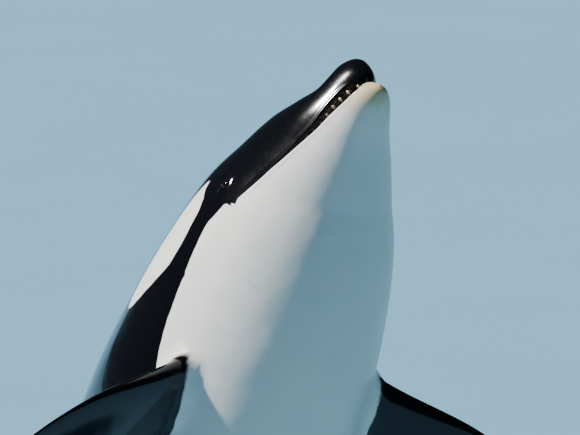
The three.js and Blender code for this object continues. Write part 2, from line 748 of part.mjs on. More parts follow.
const flukeLead = (u) => 1 - 1.02 * u ** 1.5;
const flukeTrail = (u) => -0.16 * Math.sin(Math.PI * Math.min(1, u * 1.15) ** 0.6) - 0.14 * u * u;
function fluke(side) {
  const { origin, toHead, toBack, toLeft } = frameAt(STOCK_END);
  const notchPoint = origin.clone().addScaledVector(toHead, -(1 - STOCK_END) * BODY_LENGTH);
  return fin(
    finStations(GAP / 2 / FLUKE_REACH, FLUKE_TIP, FLUKE_STEPS, FLUKE_CROWDING),
    (u) =>
      notchPoint
        .clone()
        .addScaledVector(toLeft, side * u * FLUKE_REACH)
        .addScaledVector(toHead, (FLUKE_ROOT_CHORD * (flukeLead(u) + flukeTrail(u))) / 2)
        .addScaledVector(toBack, -FLUKE_DROOP * u * u),
    (u) => FLUKE_ROOT_CHORD * (flukeLead(u) - flukeTrail(u)),
    (u) => mix(FLUKE_THICK, FLUKE_TIP_THICK, smoothstep(0, 0.9, u)),
    toHead,
    toBack,
  );
}

// The stand: a flat base with rounded corners, and two rods on flanges that meet the belly.
const BASE_LENGTH = 2600;
const BASE_WIDTH = 1500;
const BASE_THICK = 45;
const BASE_CORNER = 180;
const BASE_BEVEL = 8;
const ROD_RADIUS = 55;
const FLANGE_RADIUS = 150;
const FLANGE_THICK = 22;
const FLANGE_BEVEL = 5;
const CORNER_STEPS = 5;
const TURNED_SIDES = 24;

function standBase() {
  const [x, y, r] = [BASE_LENGTH / 2 - BASE_BEVEL, BASE_WIDTH / 2 - BASE_BEVEL, BASE_CORNER];
  const outline = new THREE.Shape();
  outline.moveTo(-x + r, -y);
  outline.lineTo(x - r, -y);
  outline.absarc(x - r, -y + r, r, -Math.PI / 2, 0);
  outline.absarc(x - r, y - r, r, 0, Math.PI / 2);
  outline.absarc(-x + r, y - r, r, Math.PI / 2, Math.PI);
  outline.absarc(-x + r, -y + r, r, Math.PI, (3 * Math.PI) / 2);
  const plate = new THREE.ExtrudeGeometry(outline, {
    depth: BASE_THICK - 2 * BASE_BEVEL,
    bevelSize: BASE_BEVEL,
    bevelThickness: BASE_BEVEL,
    bevelSegments: 1,
    curveSegments: CORNER_STEPS,
  });
  return solidOf(plate.translate(0, 0, BASE_BEVEL));
}

// A round piece of the stand, turned from its radii and heights, under the belly at a share.
function turned(profile, share) {
  const under = place(share, 0, -bellyDepth(share) * BODY_LENGTH);
  const points = profile.map(([radius, height]) => new THREE.Vector2(radius, height));
  const lathe = new THREE.LatheGeometry(points, TURNED_SIDES);
  lathe.rotateX(Math.PI / 2);
  return solidOf(lathe.translate(under.x, under.y, 0));
}
function standFlange(share) {
  const low = BASE_THICK + GAP;
  const high = low + FLANGE_THICK;
  const profile = [
    [0, low],
    [FLANGE_RADIUS, low],
    [FLANGE_RADIUS, high - FLANGE_BEVEL],
    [FLANGE_RADIUS - FLANGE_BEVEL, high],
    [0, high],
  ];
  return turned(profile, share);
}
function standRod(share, body) {
  const foot = BASE_THICK + FLANGE_THICK + 2 * GAP;
  const top = place(share, 0, 0).z;
  const rod = turned([[0, foot], [ROD_RADIUS, foot], [ROD_RADIUS, top], [0, top]], share);
  return largestLow(rod.subtract(body));
}

// Of the pieces that a cut leaves, the one that stands on the base.
function largestLow(solid) {
  return solid
    .decompose()
    .sort((a, b) => a.boundingBox().min[2] - b.boundingBox().min[2])[0];
}

const FRONT_ROD_SHARE = 0.5;
const REAR_ROD_SHARE = 0.74;

const skinBlack = { color: 0x0b0d11, roughness: 0.3, metalness: 0 };
const skinWhite = { color: 0xe4e1da, roughness: 0.35, metalness: 0 };
const eyeDark = { color: 0x1a1210, roughness: 0.08, metalness: 0 };
const steel = { color: 0x8f9294, roughness: 0.45, metalness: 0.8 };

// The lengths of body, a gap larger all round, that the fins, flukes and rods are cut against.
const bodyForFins = grownBody(0.14, 0.6);
const stockForFlukes = grownBody(0.85, STOCK_END);
const bodyForRods = grownBody(0.4, 0.9);

const { head, jaw } = buildHead();
const pieces = {
  head: [head, skinBlack],
  lower_jaw: [jaw, skinWhite],
  eye_left: [eyeball(1), eyeDark],
  eye_right: [eyeball(-1), eyeDark],
  neck: [division(HEAD_END, NECK_END), skinWhite],
  chest: [division(NECK_END, CHEST_END), skinBlack],
  loin: [division(CHEST_END, LOIN_END), skinBlack],
  belly_rear: [division(LOIN_END, BELLY_END), skinBlack],
  tail_stock_front: [division(BELLY_END, STOCK_SPLIT), skinBlack],
  tail_stock_rear: [division(STOCK_SPLIT, STOCK_END), skinBlack],
  flipper_left: [largestOf(flipper(1).subtract(bodyForFins)), skinBlack],
  flipper_right: [largestOf(flipper(-1).subtract(bodyForFins)), skinBlack],
  dorsal_fin: [largestOf(dorsalFin().subtract(bodyForFins)), skinBlack],
  fluke_left: [largestOf(fluke(1).subtract(stockForFlukes)), skinBlack],
  fluke_right: [largestOf(fluke(-1).subtract(stockForFlukes)), skinBlack],
  stand_base: [standBase(), steel],
  stand_flange_front: [standFlange(FRONT_ROD_SHARE), steel],
  stand_flange_rear: [standFlange(REAR_ROD_SHARE), steel],
  stand_rod_front: [standRod(FRONT_ROD_SHARE, bodyForRods), steel],
  stand_rod_rear: [standRod(REAR_ROD_SHARE, bodyForRods), steel],
};

const model = new THREE.Group();
for (const [name, [solid, look]] of Object.entries(pieces)) {
  const mesh = new THREE.Mesh(geometryOf(solid), new THREE.MeshStandardMaterial(look));
  mesh.name = name;
  model.add(mesh);
}

// The origin moves to the middle of the whole model's underside.
const middle = new THREE.Box3().setFromObject(model, true).getCenter(new THREE.Vector3());
model.position.set(-middle.x, -middle.y, 0);

const orca = new THREE.Group();
orca.add(model);
export default orca;
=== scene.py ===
# %% [markdown]
# A killer whale holding its head up, life size, on a plain display stand.
# The solids of the animal and the stand come from the frame. Here they get their looks: one
# smooth skin over all the flesh, with its markings, the inside of the mouth, teeth and eyes.
# The frame is loaded first, because everything below is placed in its metres and axes.

# %% The frame
import json
import math

import bpy
import numpy as np
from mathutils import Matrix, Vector, kdtree

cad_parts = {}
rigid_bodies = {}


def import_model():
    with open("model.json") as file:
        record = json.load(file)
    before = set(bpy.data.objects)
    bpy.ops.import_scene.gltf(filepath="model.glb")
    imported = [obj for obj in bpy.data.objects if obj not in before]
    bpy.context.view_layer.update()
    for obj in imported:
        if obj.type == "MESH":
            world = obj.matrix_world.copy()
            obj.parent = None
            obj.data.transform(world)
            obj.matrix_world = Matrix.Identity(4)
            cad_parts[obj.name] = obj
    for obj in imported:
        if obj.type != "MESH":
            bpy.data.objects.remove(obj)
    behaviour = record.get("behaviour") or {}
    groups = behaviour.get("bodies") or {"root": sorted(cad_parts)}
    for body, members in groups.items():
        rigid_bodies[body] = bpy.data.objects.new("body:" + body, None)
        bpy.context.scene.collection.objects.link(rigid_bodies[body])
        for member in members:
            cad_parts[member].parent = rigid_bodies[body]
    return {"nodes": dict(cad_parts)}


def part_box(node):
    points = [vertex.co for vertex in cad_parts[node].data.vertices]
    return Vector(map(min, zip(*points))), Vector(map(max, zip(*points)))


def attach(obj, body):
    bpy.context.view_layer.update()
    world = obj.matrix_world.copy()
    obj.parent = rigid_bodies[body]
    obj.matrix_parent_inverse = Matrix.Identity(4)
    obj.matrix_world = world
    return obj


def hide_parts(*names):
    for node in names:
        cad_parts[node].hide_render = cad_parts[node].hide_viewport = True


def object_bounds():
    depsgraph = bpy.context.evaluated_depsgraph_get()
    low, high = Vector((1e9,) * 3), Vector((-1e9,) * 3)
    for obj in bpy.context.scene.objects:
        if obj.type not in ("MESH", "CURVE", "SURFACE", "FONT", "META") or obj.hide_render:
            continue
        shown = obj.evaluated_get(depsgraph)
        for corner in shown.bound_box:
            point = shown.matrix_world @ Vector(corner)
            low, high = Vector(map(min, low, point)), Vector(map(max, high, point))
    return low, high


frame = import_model()
cad_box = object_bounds()
bpy.ops.object.select_all(action="DESELECT")
print("box of the solids", [[round(value, 3) for value in corner] for corner in cad_box])

# %% [markdown]
# A long curved body is easiest to shape along its own spine. A point on it is given by its
# share of the length from the snout, its distance to the left and its height towards the back.
# The same sizes as in the solids are used, so that the skin lies where they lie.

# %% The animal's sizes
LENGTH = 5.6
HEAD_LEAN = math.radians(18)
TAIL_LEAN = math.radians(50)
STRAIGHT_SHARE = 0.18
BANK = math.radians(12.5)
BALANCE_SHARE = 0.39
BALANCE_X = 0.06
NOTCH_HEIGHT = 0.37
# How full the cross section is: 2 is an ellipse, more is boxier, less is sharper.
SIDE_POWER = 2.1
BACK_POWER = 2.15
BELLY_POWER = 2.0
KEEL_POWER = 1.7
KEEL_START = 0.5
KEEL_END = 0.85
TINY = 1e-9

# Share, height of the back, depth of the belly and half width, all as shares of the length.
STATIONS = [
    (0.0, 0.0, 0.0, 0.0),
    (0.004, 0.0086, 0.013, 0.0077),
    (0.012, 0.0133, 0.0178, 0.0137),
    (0.024, 0.0123, 0.0255, 0.0214),
    (0.04, 0.0245, 0.0325, 0.0309),
    (0.06, 0.0422, 0.0405, 0.0397),
    (0.085, 0.0547, 0.0503, 0.0511),
    (0.115, 0.0678, 0.061, 0.0641),
    (0.15, 0.0765, 0.0715, 0.0728),
    (0.2, 0.0865, 0.082, 0.0803),
    (0.27, 0.0935, 0.0885, 0.0862),
    (0.36, 0.0955, 0.0905, 0.086),
    (0.46, 0.0895, 0.083, 0.078),
    (0.57, 0.0745, 0.066, 0.0605),
    (0.68, 0.0565, 0.047, 0.039),
    (0.8, 0.0405, 0.0335, 0.0215),
    (0.9, 0.029, 0.0255, 0.0135),
    (0.955, 0.0155, 0.0135, 0.0115),
    (0.985, 0.0065, 0.006, 0.0085),
]
# The lower jaw: share, depth, half width, and how low its widest level lies.
JAW_STATIONS = [
    (0.0035, 0.0275, 0.0, 0.0275),
    (0.006, 0.031, 0.0068, 0.0242),
    (0.0125, 0.0335, 0.013, 0.0215),
    (0.024, 0.035, 0.0192, 0.0182),
    (0.04, 0.0374, 0.0272, 0.013),
    (0.06, 0.0428, 0.0388, 0.007),
    (0.085, 0.0503, 0.0511, 0.0),
]
# Share, depth of the line of the mouth and how far the lips stand apart.
MOUTH_STATIONS = [
    (0.0, 0.0186, 0.0),
    (0.006, 0.0192, 0.0045),
    (0.0095, 0.0189, 0.0078),
    (0.0138, 0.0174, 0.0108),
    (0.0195, 0.0173, 0.0098),
    (0.0271, 0.0171, 0.0078),
    (0.0328, 0.0172, 0.0058),
    (0.041, 0.0178, 0.0036),
    (0.0544, 0.0168, 0.0026),
    (0.0687, 0.0152, 0.0012),
    (0.079, 0.0136, 0.0),
    (0.101, 0.0095, 0.0),
]
# The corner of the mouth, and where the lower jaw's section turns into the body's.
GAPE = 0.101
JAW_BLEND_START = 0.02
JAW_BLEND = 0.085

# %% Curves through the sizes
def smoothstep(low, high, value):
    x = np.clip((np.asarray(value, float) - low) / (high - low), 0, 1)
    return x * x * (3 - 2 * x)


def mix(a, b, x):
    return a + (b - a) * x


def through(rows, column, root=True):
    """A smooth curve through the rows that doesn't overshoot them.

    With root, it runs over the square root of the share, which keeps a blunt snout round.
    """
    first = [row[0] for row in rows]
    u = np.sqrt(first) if root else np.array(first)
    y = np.array([row[column] for row in rows])
    step = np.diff(u)
    slope = np.diff(y) / step
    tangent = np.zeros(len(y))
    tangent[0], tangent[-1] = slope[0], slope[-1]
    for i in range(1, len(y) - 1):
        if slope[i - 1] * slope[i] > 0:
            before, after = 2 * step[i] + step[i - 1], step[i] + 2 * step[i - 1]
            tangent[i] = (before + after) / (before / slope[i - 1] + after / slope[i])

    def curve(share):
        x = np.clip(share, rows[0][0], rows[-1][0])
        x = np.sqrt(x) if root else x
        i = np.clip(np.searchsorted(u, x) - 1, 0, len(step) - 1)
        t = (x - u[i]) / step[i]
        return (
            (1 + 2 * t) * (1 - t) ** 2 * y[i]
            + t * (1 - t) ** 2 * step[i] * tangent[i]
            + t * t * (3 - 2 * t) * y[i + 1]
            + t * t * (t - 1) * step[i] * tangent[i + 1]
        )

    return curve


back_height = through(STATIONS, 1)
belly_depth = through(STATIONS, 2)
half_width = through(STATIONS, 3)
jaw_depth = through(JAW_STATIONS, 1)
jaw_half_width = through(JAW_STATIONS, 2)
jaw_level = through(JAW_STATIONS, 3)
mouth_depth = through(MOUTH_STATIONS, 1)
mouth_gap = through(MOUTH_STATIONS, 2)
print("widest half width", round(float(half_width(np.linspace(0, 1, 200)).max() * LENGTH), 3), "m")

# %% The spine
SPINE_STEPS = 1000
SPINE_REACH = 1.1
SNOUT_REACH = -0.05
LOCATE_ROUNDS = 12


def lean_at(share):
    return mix(HEAD_LEAN, TAIL_LEAN, smoothstep(STRAIGHT_SHARE, 1, share))


spine_shares = np.linspace(0, SPINE_REACH, int(SPINE_STEPS * SPINE_REACH) + 1)
stride = LENGTH / SPINE_STEPS
middle_lean = lean_at(spine_shares[:-1] + 0.5 / SPINE_STEPS)
spine_x = np.concatenate([[0], -np.cumsum(np.sin(middle_lean) * stride)])
spine_z = np.concatenate([[0], -np.cumsum(np.cos(middle_lean) * stride)])


def banked(x, y, z):
    """Leans a vector over to the animal's side, about the X axis."""
    x, y, z = np.broadcast_arrays(x, y, z)
    return np.stack(
        [x, y * math.cos(BANK) + z * math.sin(BANK), -y * math.sin(BANK) + z * math.cos(BANK)], -1
    )


def spine_at(share):
    """The spine's place before the shift. Ahead of the snout it goes straight on."""
    x = np.interp(share, spine_shares, spine_x)
    z = np.interp(share, spine_shares, spine_z)
    ahead = np.maximum(0, -np.asarray(share, float)) * LENGTH
    return banked(x + ahead * math.sin(HEAD_LEAN), 0 * x, z + ahead * math.cos(HEAD_LEAN))


base_low, base_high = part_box("stand_base")
base_middle = np.array((base_low + base_high) / 2)
SHIFT = np.array([
    BALANCE_X + base_middle[0] - spine_at(BALANCE_SHARE)[0],
    base_middle[1] - spine_at(BALANCE_SHARE)[1],
    NOTCH_HEIGHT - spine_at(1.0)[2],
])


def frame_at(share):
    """The spine's place, and the ways to the head, to the back and to the left there."""
    lean = lean_at(share)
    to_head = banked(np.sin(lean), 0, np.cos(lean))
    to_back = banked(-np.cos(lean), 0, np.sin(lean))
    to_left = banked(0 * lean, 1, 0)
    return spine_at(share) + SHIFT, to_head, to_back, to_left


def place(share, left, back):
    """The place in the frame of a point given by share, left and back."""
    origin, _, to_back, to_left = frame_at(share)
    return origin + np.asarray(left)[..., None] * to_left + np.asarray(back)[..., None] * to_back


def locate(points):
    """Share, distance to the left and height towards the back of points in the frame."""
    share = np.interp(-points[:, 2], -(spine_at(spine_shares) + SHIFT)[:, 2], spine_shares)
    for _ in range(LOCATE_ROUNDS):
        origin, to_head, to_back, to_left = frame_at(share)
        off = points - origin
        share = np.clip(share - (off * to_head).sum(1) / LENGTH, SNOUT_REACH, SPINE_REACH)
    return share, (off * to_left).sum(1), (off * to_back).sum(1)


print("snout", place(0.0, 0.0, 0.0).round(3), "notch", place(1.0, 0.0, 0.0).round(3))

# %% Cross sections
def signed_power(value, power):
    return np.sign(value) * np.abs(value) ** power


def keel_at(share):
    """0 where the body is round, 1 where it has become the keeled tail stock."""
    return smoothstep(KEEL_START, KEEL_END, share)


def section(share, angle):
    """Distances to the left and towards the back at an angle round the body."""
    cos, sin = np.cos(angle), np.sin(angle)
    keel = keel_at(share)
    reach = np.where(sin >= 0, back_height(share), belly_depth(share))
    up_power = mix(np.where(sin >= 0, BACK_POWER, BELLY_POWER), KEEL_POWER, keel)
    left = signed_power(cos, 2 / mix(SIDE_POWER, KEEL_POWER, keel)) * half_width(share)
    return left * LENGTH, signed_power(sin, 2 / up_power) * reach * LENGTH


def jaw_reach(share):
    """How low the jaw's widest level lies, and how far the jaw reaches below and above it."""
    level = jaw_level(share)
    down = jaw_depth(share) - level
    return level, down, mix(down, back_height(share), smoothstep(JAW_BLEND_START, JAW_BLEND, share))


def jaw_section(share, angle):
    """The same for the lower jaw, which becomes the body's section behind it."""
    level, down, up = jaw_reach(share)
    cos, sin = np.cos(angle), np.sin(angle)
    power = np.where(sin >= 0, BACK_POWER, BELLY_POWER)
    left = signed_power(cos, 2 / SIDE_POWER) * jaw_half_width(share)
    back = signed_power(sin, 2 / power) * np.where(sin >= 0, up, down) - level
    behind = share >= JAW_BLEND
    body_left, body_back = section(share, angle)
    return np.where(behind, body_left, left * LENGTH), np.where(behind, body_back, back * LENGTH)


def body_angle(share, back):
    """The angle below or above the side at which the body's section has this height."""
    keel = keel_at(share)
    reach = np.where(back >= 0, back_height(share), belly_depth(share)) * LENGTH
    power = mix(np.where(back >= 0, BACK_POWER, BELLY_POWER), KEEL_POWER, keel)
    return np.arcsin(signed_power(np.clip(back / np.maximum(reach, TINY), -1, 1), power / 2))


def jaw_angle(share, back):
    """The same for the lower jaw."""
    level, down, up = jaw_reach(share)
    off = back / LENGTH + level
    power = np.where(off >= 0, BACK_POWER, BELLY_POWER)
    angle = np.arcsin(signed_power(np.clip(off / np.where(off >= 0, up, down), -1, 1), power / 2))
    return np.where(share >= JAW_BLEND, body_angle(share, back), angle)


def lips_apart(share):
    return mouth_gap(share) * LENGTH


print("lips apart by at most", round(float(lips_apart(np.linspace(0, GAPE, 100)).max()), 3), "m")

# %% [markdown]
# The skin has to part into two jaws at the mouth. A tube extruded from a circle can't do that,
# so each length of skin starts as a flat grid, which is rolled up ring by ring: one grid for the
# upper jaw, one for the lower jaw and one for all that lies behind the corner of the mouth.
# Their edges meet point by point, and merging them makes a single closed skin.

# %% The lips and the inside of the mouth
# Each step round a lip: how far it stands out or in, and how far it lies from the gap.
LIP_OUT = [(0.0, 0.016), (0.0025, 0.010), (0.003, 0.005), (0.0005, 0.0006)]
LIP_IN = [
    (0.004, 0.0),
    (0.009, 0.002),
    (0.012, 0.007),
    (0.018, 0.0085),
    (0.032, 0.009),
    (0.046, 0.016),
    (0.058, 0.026),
]
PALATE_RISE = 0.034
PALATE_HALF = 0.3
PALATE_MIDDLE = 1.15
# The half width of a mouth and the depth of a belly from which on the lips have full size.
SMALL_MOUTH = 0.085
FULL_BELLY = 0.25
# The lips stay within this share of a jaw's height, and the line behind them of the belly's.
LIP_LIMIT = 0.97
LINE_LIMIT = 0.35
ON_THE_LINE = 0.001
# How far ahead of the corner the gap, the bulge of the lips and the hollow start to close.
GAP_FADE = 0.01
BULGE_FADE = 0.012
HOLLOW_FADE = 0.03
UPPER_ARC = 76
LOWER_ARC = 44


def mouth_level(share):
    """Where the line of the mouth lies, and the line that runs on from it along the side."""
    depth = mouth_depth(np.minimum(share, GAPE))
    return -np.minimum(depth, LINE_LIMIT * belly_depth(share)) * LENGTH


def jaw_ring(share, upper):
    """One closed ring of a jaw, from its left lip round the outside to the right and back inside."""
    sign = 1 if upper else -1
    section_of, angle_of = (section, body_angle) if upper else (jaw_section, jaw_angle)
    gap = lips_apart(share) / 2 * (1 - smoothstep(GAPE - GAP_FADE, GAPE, share))
    lip = -mouth_depth(share) * LENGTH + sign * gap
    if upper:
        lip = max(lip, -LIP_LIMIT * belly_depth(share) * LENGTH)
    elif share < JAW_BLEND:
        level, _, up = jaw_reach(share)
        lip = min(lip, (-level + LIP_LIMIT * up) * LENGTH)
    side = float(section_of(share, angle_of(share, lip))[0])
    scale = min(1.0, abs(side) / SMALL_MOUTH)
    hollow = scale * float(1 - smoothstep(GAPE - HOLLOW_FADE, GAPE, share))
    bulge = scale * float(1 - smoothstep(GAPE - BULGE_FADE, GAPE, share))
    outer = []
    for out, away in LIP_OUT:
        back = lip + sign * away * scale
        outer.append((float(section_of(share, angle_of(share, back))[0]) + out * bulge, back))
    end = float(angle_of(share, outer[0][1]))
    far_end = (math.pi if upper else -math.pi) - end
    angles = np.linspace(end, far_end, (UPPER_ARC if upper else LOWER_ARC) + 1)
    arc = np.stack(section_of(share, angles), -1)
    inner = [(side - inwards * scale, lip + sign * away * hollow) for inwards, away in LIP_IN]
    inner.append((side * PALATE_HALF, lip + sign * PALATE_RISE * hollow))
    roof = (0.0, lip + sign * PALATE_MIDDLE * PALATE_RISE * hollow)
    left = outer[1:]
    right = [(-x, back) for x, back in [*left, *inner]]
    return np.array([*arc, *right, roof, *reversed(inner), *reversed(left), arc[0]], float)


def body_ring(share):
    """One ring behind the mouth, with the same points at its side as the lips have."""
    scale = min(1.0, float(belly_depth(share)) * LENGTH / FULL_BELLY)
    line = float(mouth_level(share))
    ends = {}
    for sign in (1, -1):
        backs = [line + sign * away * scale * (away > ON_THE_LINE) for _, away in LIP_OUT]
        ends[sign] = [(float(section(share, body_angle(share, back))[0]), back) for back in backs]
    top, low = (float(body_angle(share, ends[sign][0][1])) for sign in (1, -1))
    upper = np.stack(section(share, np.linspace(top, math.pi - top, UPPER_ARC + 1)), -1)
    lower = np.stack(section(share, np.linspace(-math.pi - low, low, LOWER_ARC + 1)), -1)
    right = [(-left, back) for left, back in [*ends[1][1:], *reversed(ends[-1][1:3])]]
    left = [*ends[-1][1:], *reversed(ends[1][1:3])]
    return np.array([*upper, *right, *lower, *left, upper[0]], float)


print("points round an upper jaw:", len(jaw_ring(JAW_BLEND, True)))

# %% Rolling the sheets
def rolled(name, shares, ring_of):
    """A flat grid, rolled up into a tube whose rings lie at the given shares."""
    rings = [place(np.full(len(ring), share), ring[:, 0], ring[:, 1])
             for share, ring in ((share, ring_of(share)) for share in shares)]
    rows, columns = len(rings), len(rings[0])
    bpy.ops.mesh.primitive_grid_add(x_subdivisions=rows - 1, y_subdivisions=columns - 1, size=2)
    sheet = bpy.context.object
    sheet.name = name
    flat = np.array([vertex.co for vertex in sheet.data.vertices])
    row = np.rint((flat[:, 0] + 1) / 2 * (rows - 1)).astype(int)
    column = np.rint((flat[:, 1] + 1) / 2 * (columns - 1)).astype(int)
    sheet.data.vertices.foreach_set("co", np.array(rings)[row, column].ravel())
    sheet.data.update()
    return sheet


def only(piece):
    """Makes one piece the active and only selected object."""
    bpy.ops.object.select_all(action="DESELECT")
    piece.select_set(True)
    bpy.context.view_layer.objects.active = piece
    return piece


def joined(pieces, name):
    only(pieces[0])
    for piece in pieces:
        piece.select_set(True)
    bpy.ops.object.join()
    pieces[0].name = name
    return pieces[0]


JAW_RINGS = 84
CROWDING = 1.6
# From share, to share and step: closest at the fine tick in the border of the white.
RING_STEPS = [(GAPE, 0.1115, 0.0005), (0.1122, 0.16, 0.0021), (0.16, 0.9, 0.0042)]
TAIL_RINGS = 24
MERGE_SKIN = 0.00002
steps = (np.arange(1, JAW_RINGS + 1) / JAW_RINGS) ** CROWDING
upper_shares = steps * GAPE
lower_shares = mix(JAW_STATIONS[0][0], GAPE, steps)
body_shares = np.concatenate([
    *(np.arange(*stretch) for stretch in RING_STEPS),
    np.linspace(RING_STEPS[-1][1], STATIONS[-1][0], TAIL_RINGS),
])
upper_jaw = rolled("upper_jaw", upper_shares, lambda share: jaw_ring(share, True))
lower_jaw = rolled("lower_jaw", lower_shares, lambda share: jaw_ring(share, False))
trunk = rolled("trunk", body_shares, body_ring)
skin = joined([trunk, upper_jaw, lower_jaw], "skin")
bpy.ops.object.mode_set(mode="EDIT")
bpy.ops.mesh.select_all(action="SELECT")
bpy.ops.mesh.remove_doubles(threshold=MERGE_SKIN)
bpy.ops.mesh.select_all(action="DESELECT")
bpy.ops.mesh.select_non_manifold()
bpy.ops.mesh.fill_holes(sides=0)
bpy.ops.mesh.select_all(action="SELECT")
bpy.ops.mesh.normals_make_consistent(inside=False)
bpy.ops.object.mode_set(mode="OBJECT")


def open_edges(piece):
    """How many edges don't lie between exactly two faces."""
    counts = np.zeros(len(piece.data.edges), int)
    edges = np.zeros(len(piece.data.loops), int)
    piece.data.loops.foreach_get("edge_index", edges)
    np.add.at(counts, edges, 1)
    return int((counts != 2).sum())


print("skin of the body:", len(skin.data.polygons), "faces,", open_edges(skin), "open edges")

# %% [markdown]
# A fin is a rounded blade. It starts as a ball, which is drawn out from root to tip, and each
# slice of the ball becomes a cross section with a blunt front and a thin rear edge. The roots
# widen and sink into the body, so that the joint can be smoothed into a soft fillet.

# %% Fins
BLUNTNESS = 0.35
MERGE_BLADE = 0.00001


def bladed(name, along_of, centre_of, chord_of, thick_of, chord_way, flat_way, around=60, rings=46):
    """A blade. Its centre line, chord and thickness are functions of the place along it."""
    bpy.ops.mesh.primitive_uv_sphere_add(segments=around, ring_count=rings, radius=1)
    blade = bpy.context.object
    blade.name = name
    ball = np.array([vertex.co for vertex in blade.data.vertices])
    turn = np.arctan2(ball[:, 1], ball[:, 0])
    along = along_of(np.arccos(np.clip(ball[:, 2], -1, 1)) / math.pi)
    forward = np.cos(turn) * chord_of(along) / 2
    outward = np.sin(turn) * (1 + BLUNTNESS * np.cos(turn)) * thick_of(along) / 2
    shaped = centre_of(along) + forward[:, None] * chord_way + outward[:, None] * flat_way
    blade.data.vertices.foreach_set("co", shaped.ravel())
    only(blade)
    bpy.ops.object.mode_set(mode="EDIT")
    bpy.ops.mesh.select_all(action="SELECT")
    bpy.ops.mesh.remove_doubles(threshold=MERGE_BLADE)
    bpy.ops.mesh.normals_make_consistent(inside=False)
    bpy.ops.object.mode_set(mode="OBJECT")
    return blade


def unit(vector):
    return vector / np.linalg.norm(vector)


def side_at(share, back):
    """How far out the side of the body lies at a height."""
    return float(section(share, body_angle(share, back))[0])


# %% [markdown]
# A flipper is a broad paddle. It starts inside the body, is widest nearly halfway out, and bends
# a little back and up towards its tip.

# %% Flippers
FLIPPER_SHARE = 0.238
FLIPPER_BACK = -0.041 * LENGTH
FLIPPER_REACH = 0.168 * LENGTH
FLIPPER_CHORD = 0.087 * LENGTH
FLIPPER_THICK = 0.12
FLIPPER_OUTWARDS = 0.87
FLIPPER_DOWNWARDS = 0.4
FLIPPER_TAILWARDS = 0.28
# Along the reach: where the blade starts in the body and ends, and where it is widest.
FLIPPER_SUNK = -0.14
FLIPPER_END = 0.998
FLIPPER_WIDEST = 0.45
FLIPPER_ROOT_CHORD = 0.8
FLIPPER_TIP_POWER = 2.3
FLIPPER_CROWDING = 1.7
FLIPPER_TIP_THICK = 0.034
FLIPPER_SWEEP = 0.07
FLIPPER_CURL = 0.06


def flipper_axes(side):
    """The root of a flipper, and the ways along it, towards its front and out of its top."""
    _, to_head, to_back, to_left = frame_at(np.array(FLIPPER_SHARE))
    root = place(FLIPPER_SHARE, side * side_at(FLIPPER_SHARE, FLIPPER_BACK), FLIPPER_BACK)
    span = unit(
        side * FLIPPER_OUTWARDS * to_left - FLIPPER_DOWNWARDS * to_back - FLIPPER_TAILWARDS * to_head
    )
    chord = unit(to_head - to_head.dot(span) * span)
    flat = unit(np.cross(span, chord))
    return root, span, chord, flat if flat.dot(to_back) > 0 else -flat


def flipper(side):
    root, span, chord, flat = flipper_axes(side)

    def outline(s):
        past = np.clip((s - FLIPPER_WIDEST) / (1 - FLIPPER_WIDEST), 0, 1)
        tip = np.sqrt(np.clip(1 - past ** FLIPPER_TIP_POWER, 0, 1))
        return mix(FLIPPER_ROOT_CHORD, 1, smoothstep(-0.05, FLIPPER_WIDEST, s)) * tip

    def centre(s):
        bent = (s * s)[:, None] * (FLIPPER_CURL * flat - FLIPPER_SWEEP * chord)
        return root + (s * FLIPPER_REACH)[:, None] * span + bent

    def thickness(s):
        return mix(FLIPPER_THICK, FLIPPER_TIP_THICK, smoothstep(-0.1, 0.8, s)) * np.sqrt(outline(s))

    return bladed(
        "flipper",
        lambda x: mix(FLIPPER_SUNK, FLIPPER_END, 1 - (1 - x) ** FLIPPER_CROWDING),
        centre,
        lambda s: FLIPPER_CHORD * outline(s),
        thickness,
        chord,
        flat,
    )


fins = [flipper(1), flipper(-1)]
print("flippers:", [len(fin.data.polygons) for fin in fins], "faces")

# %% [markdown]
# The dorsal fin sweeps back. Its front edge hooks at the tip, its rear edge is hollowed, and its
# foot is thicker, so that it grows out of the back.

# %% Dorsal fin
DORSAL_FRONT = 0.372
DORSAL_REAR = 0.516
DORSAL_HEIGHT = 0.148 * LENGTH
DORSAL_THICK = 0.12
DORSAL_TIP_THICK = 0.022
DORSAL_SUNK = -0.16
DORSAL_END = 0.995
DORSAL_CROWDING = 1.4
# Shares of the base: how the front edge sweeps and hooks back, and how the rear edge is hollowed.
DORSAL_SWEEP = 0.72
DORSAL_HOOK = 0.27
DORSAL_HOLLOW = 0.5
DORSAL_OVERHANG = 0.1
DORSAL_ROUND_FROM = 0.8
DORSAL_TIP_CHORD = 0.35
DORSAL_FOOT_HEIGHT = 0.055
DORSAL_FOOT_EXTRA = 0.05


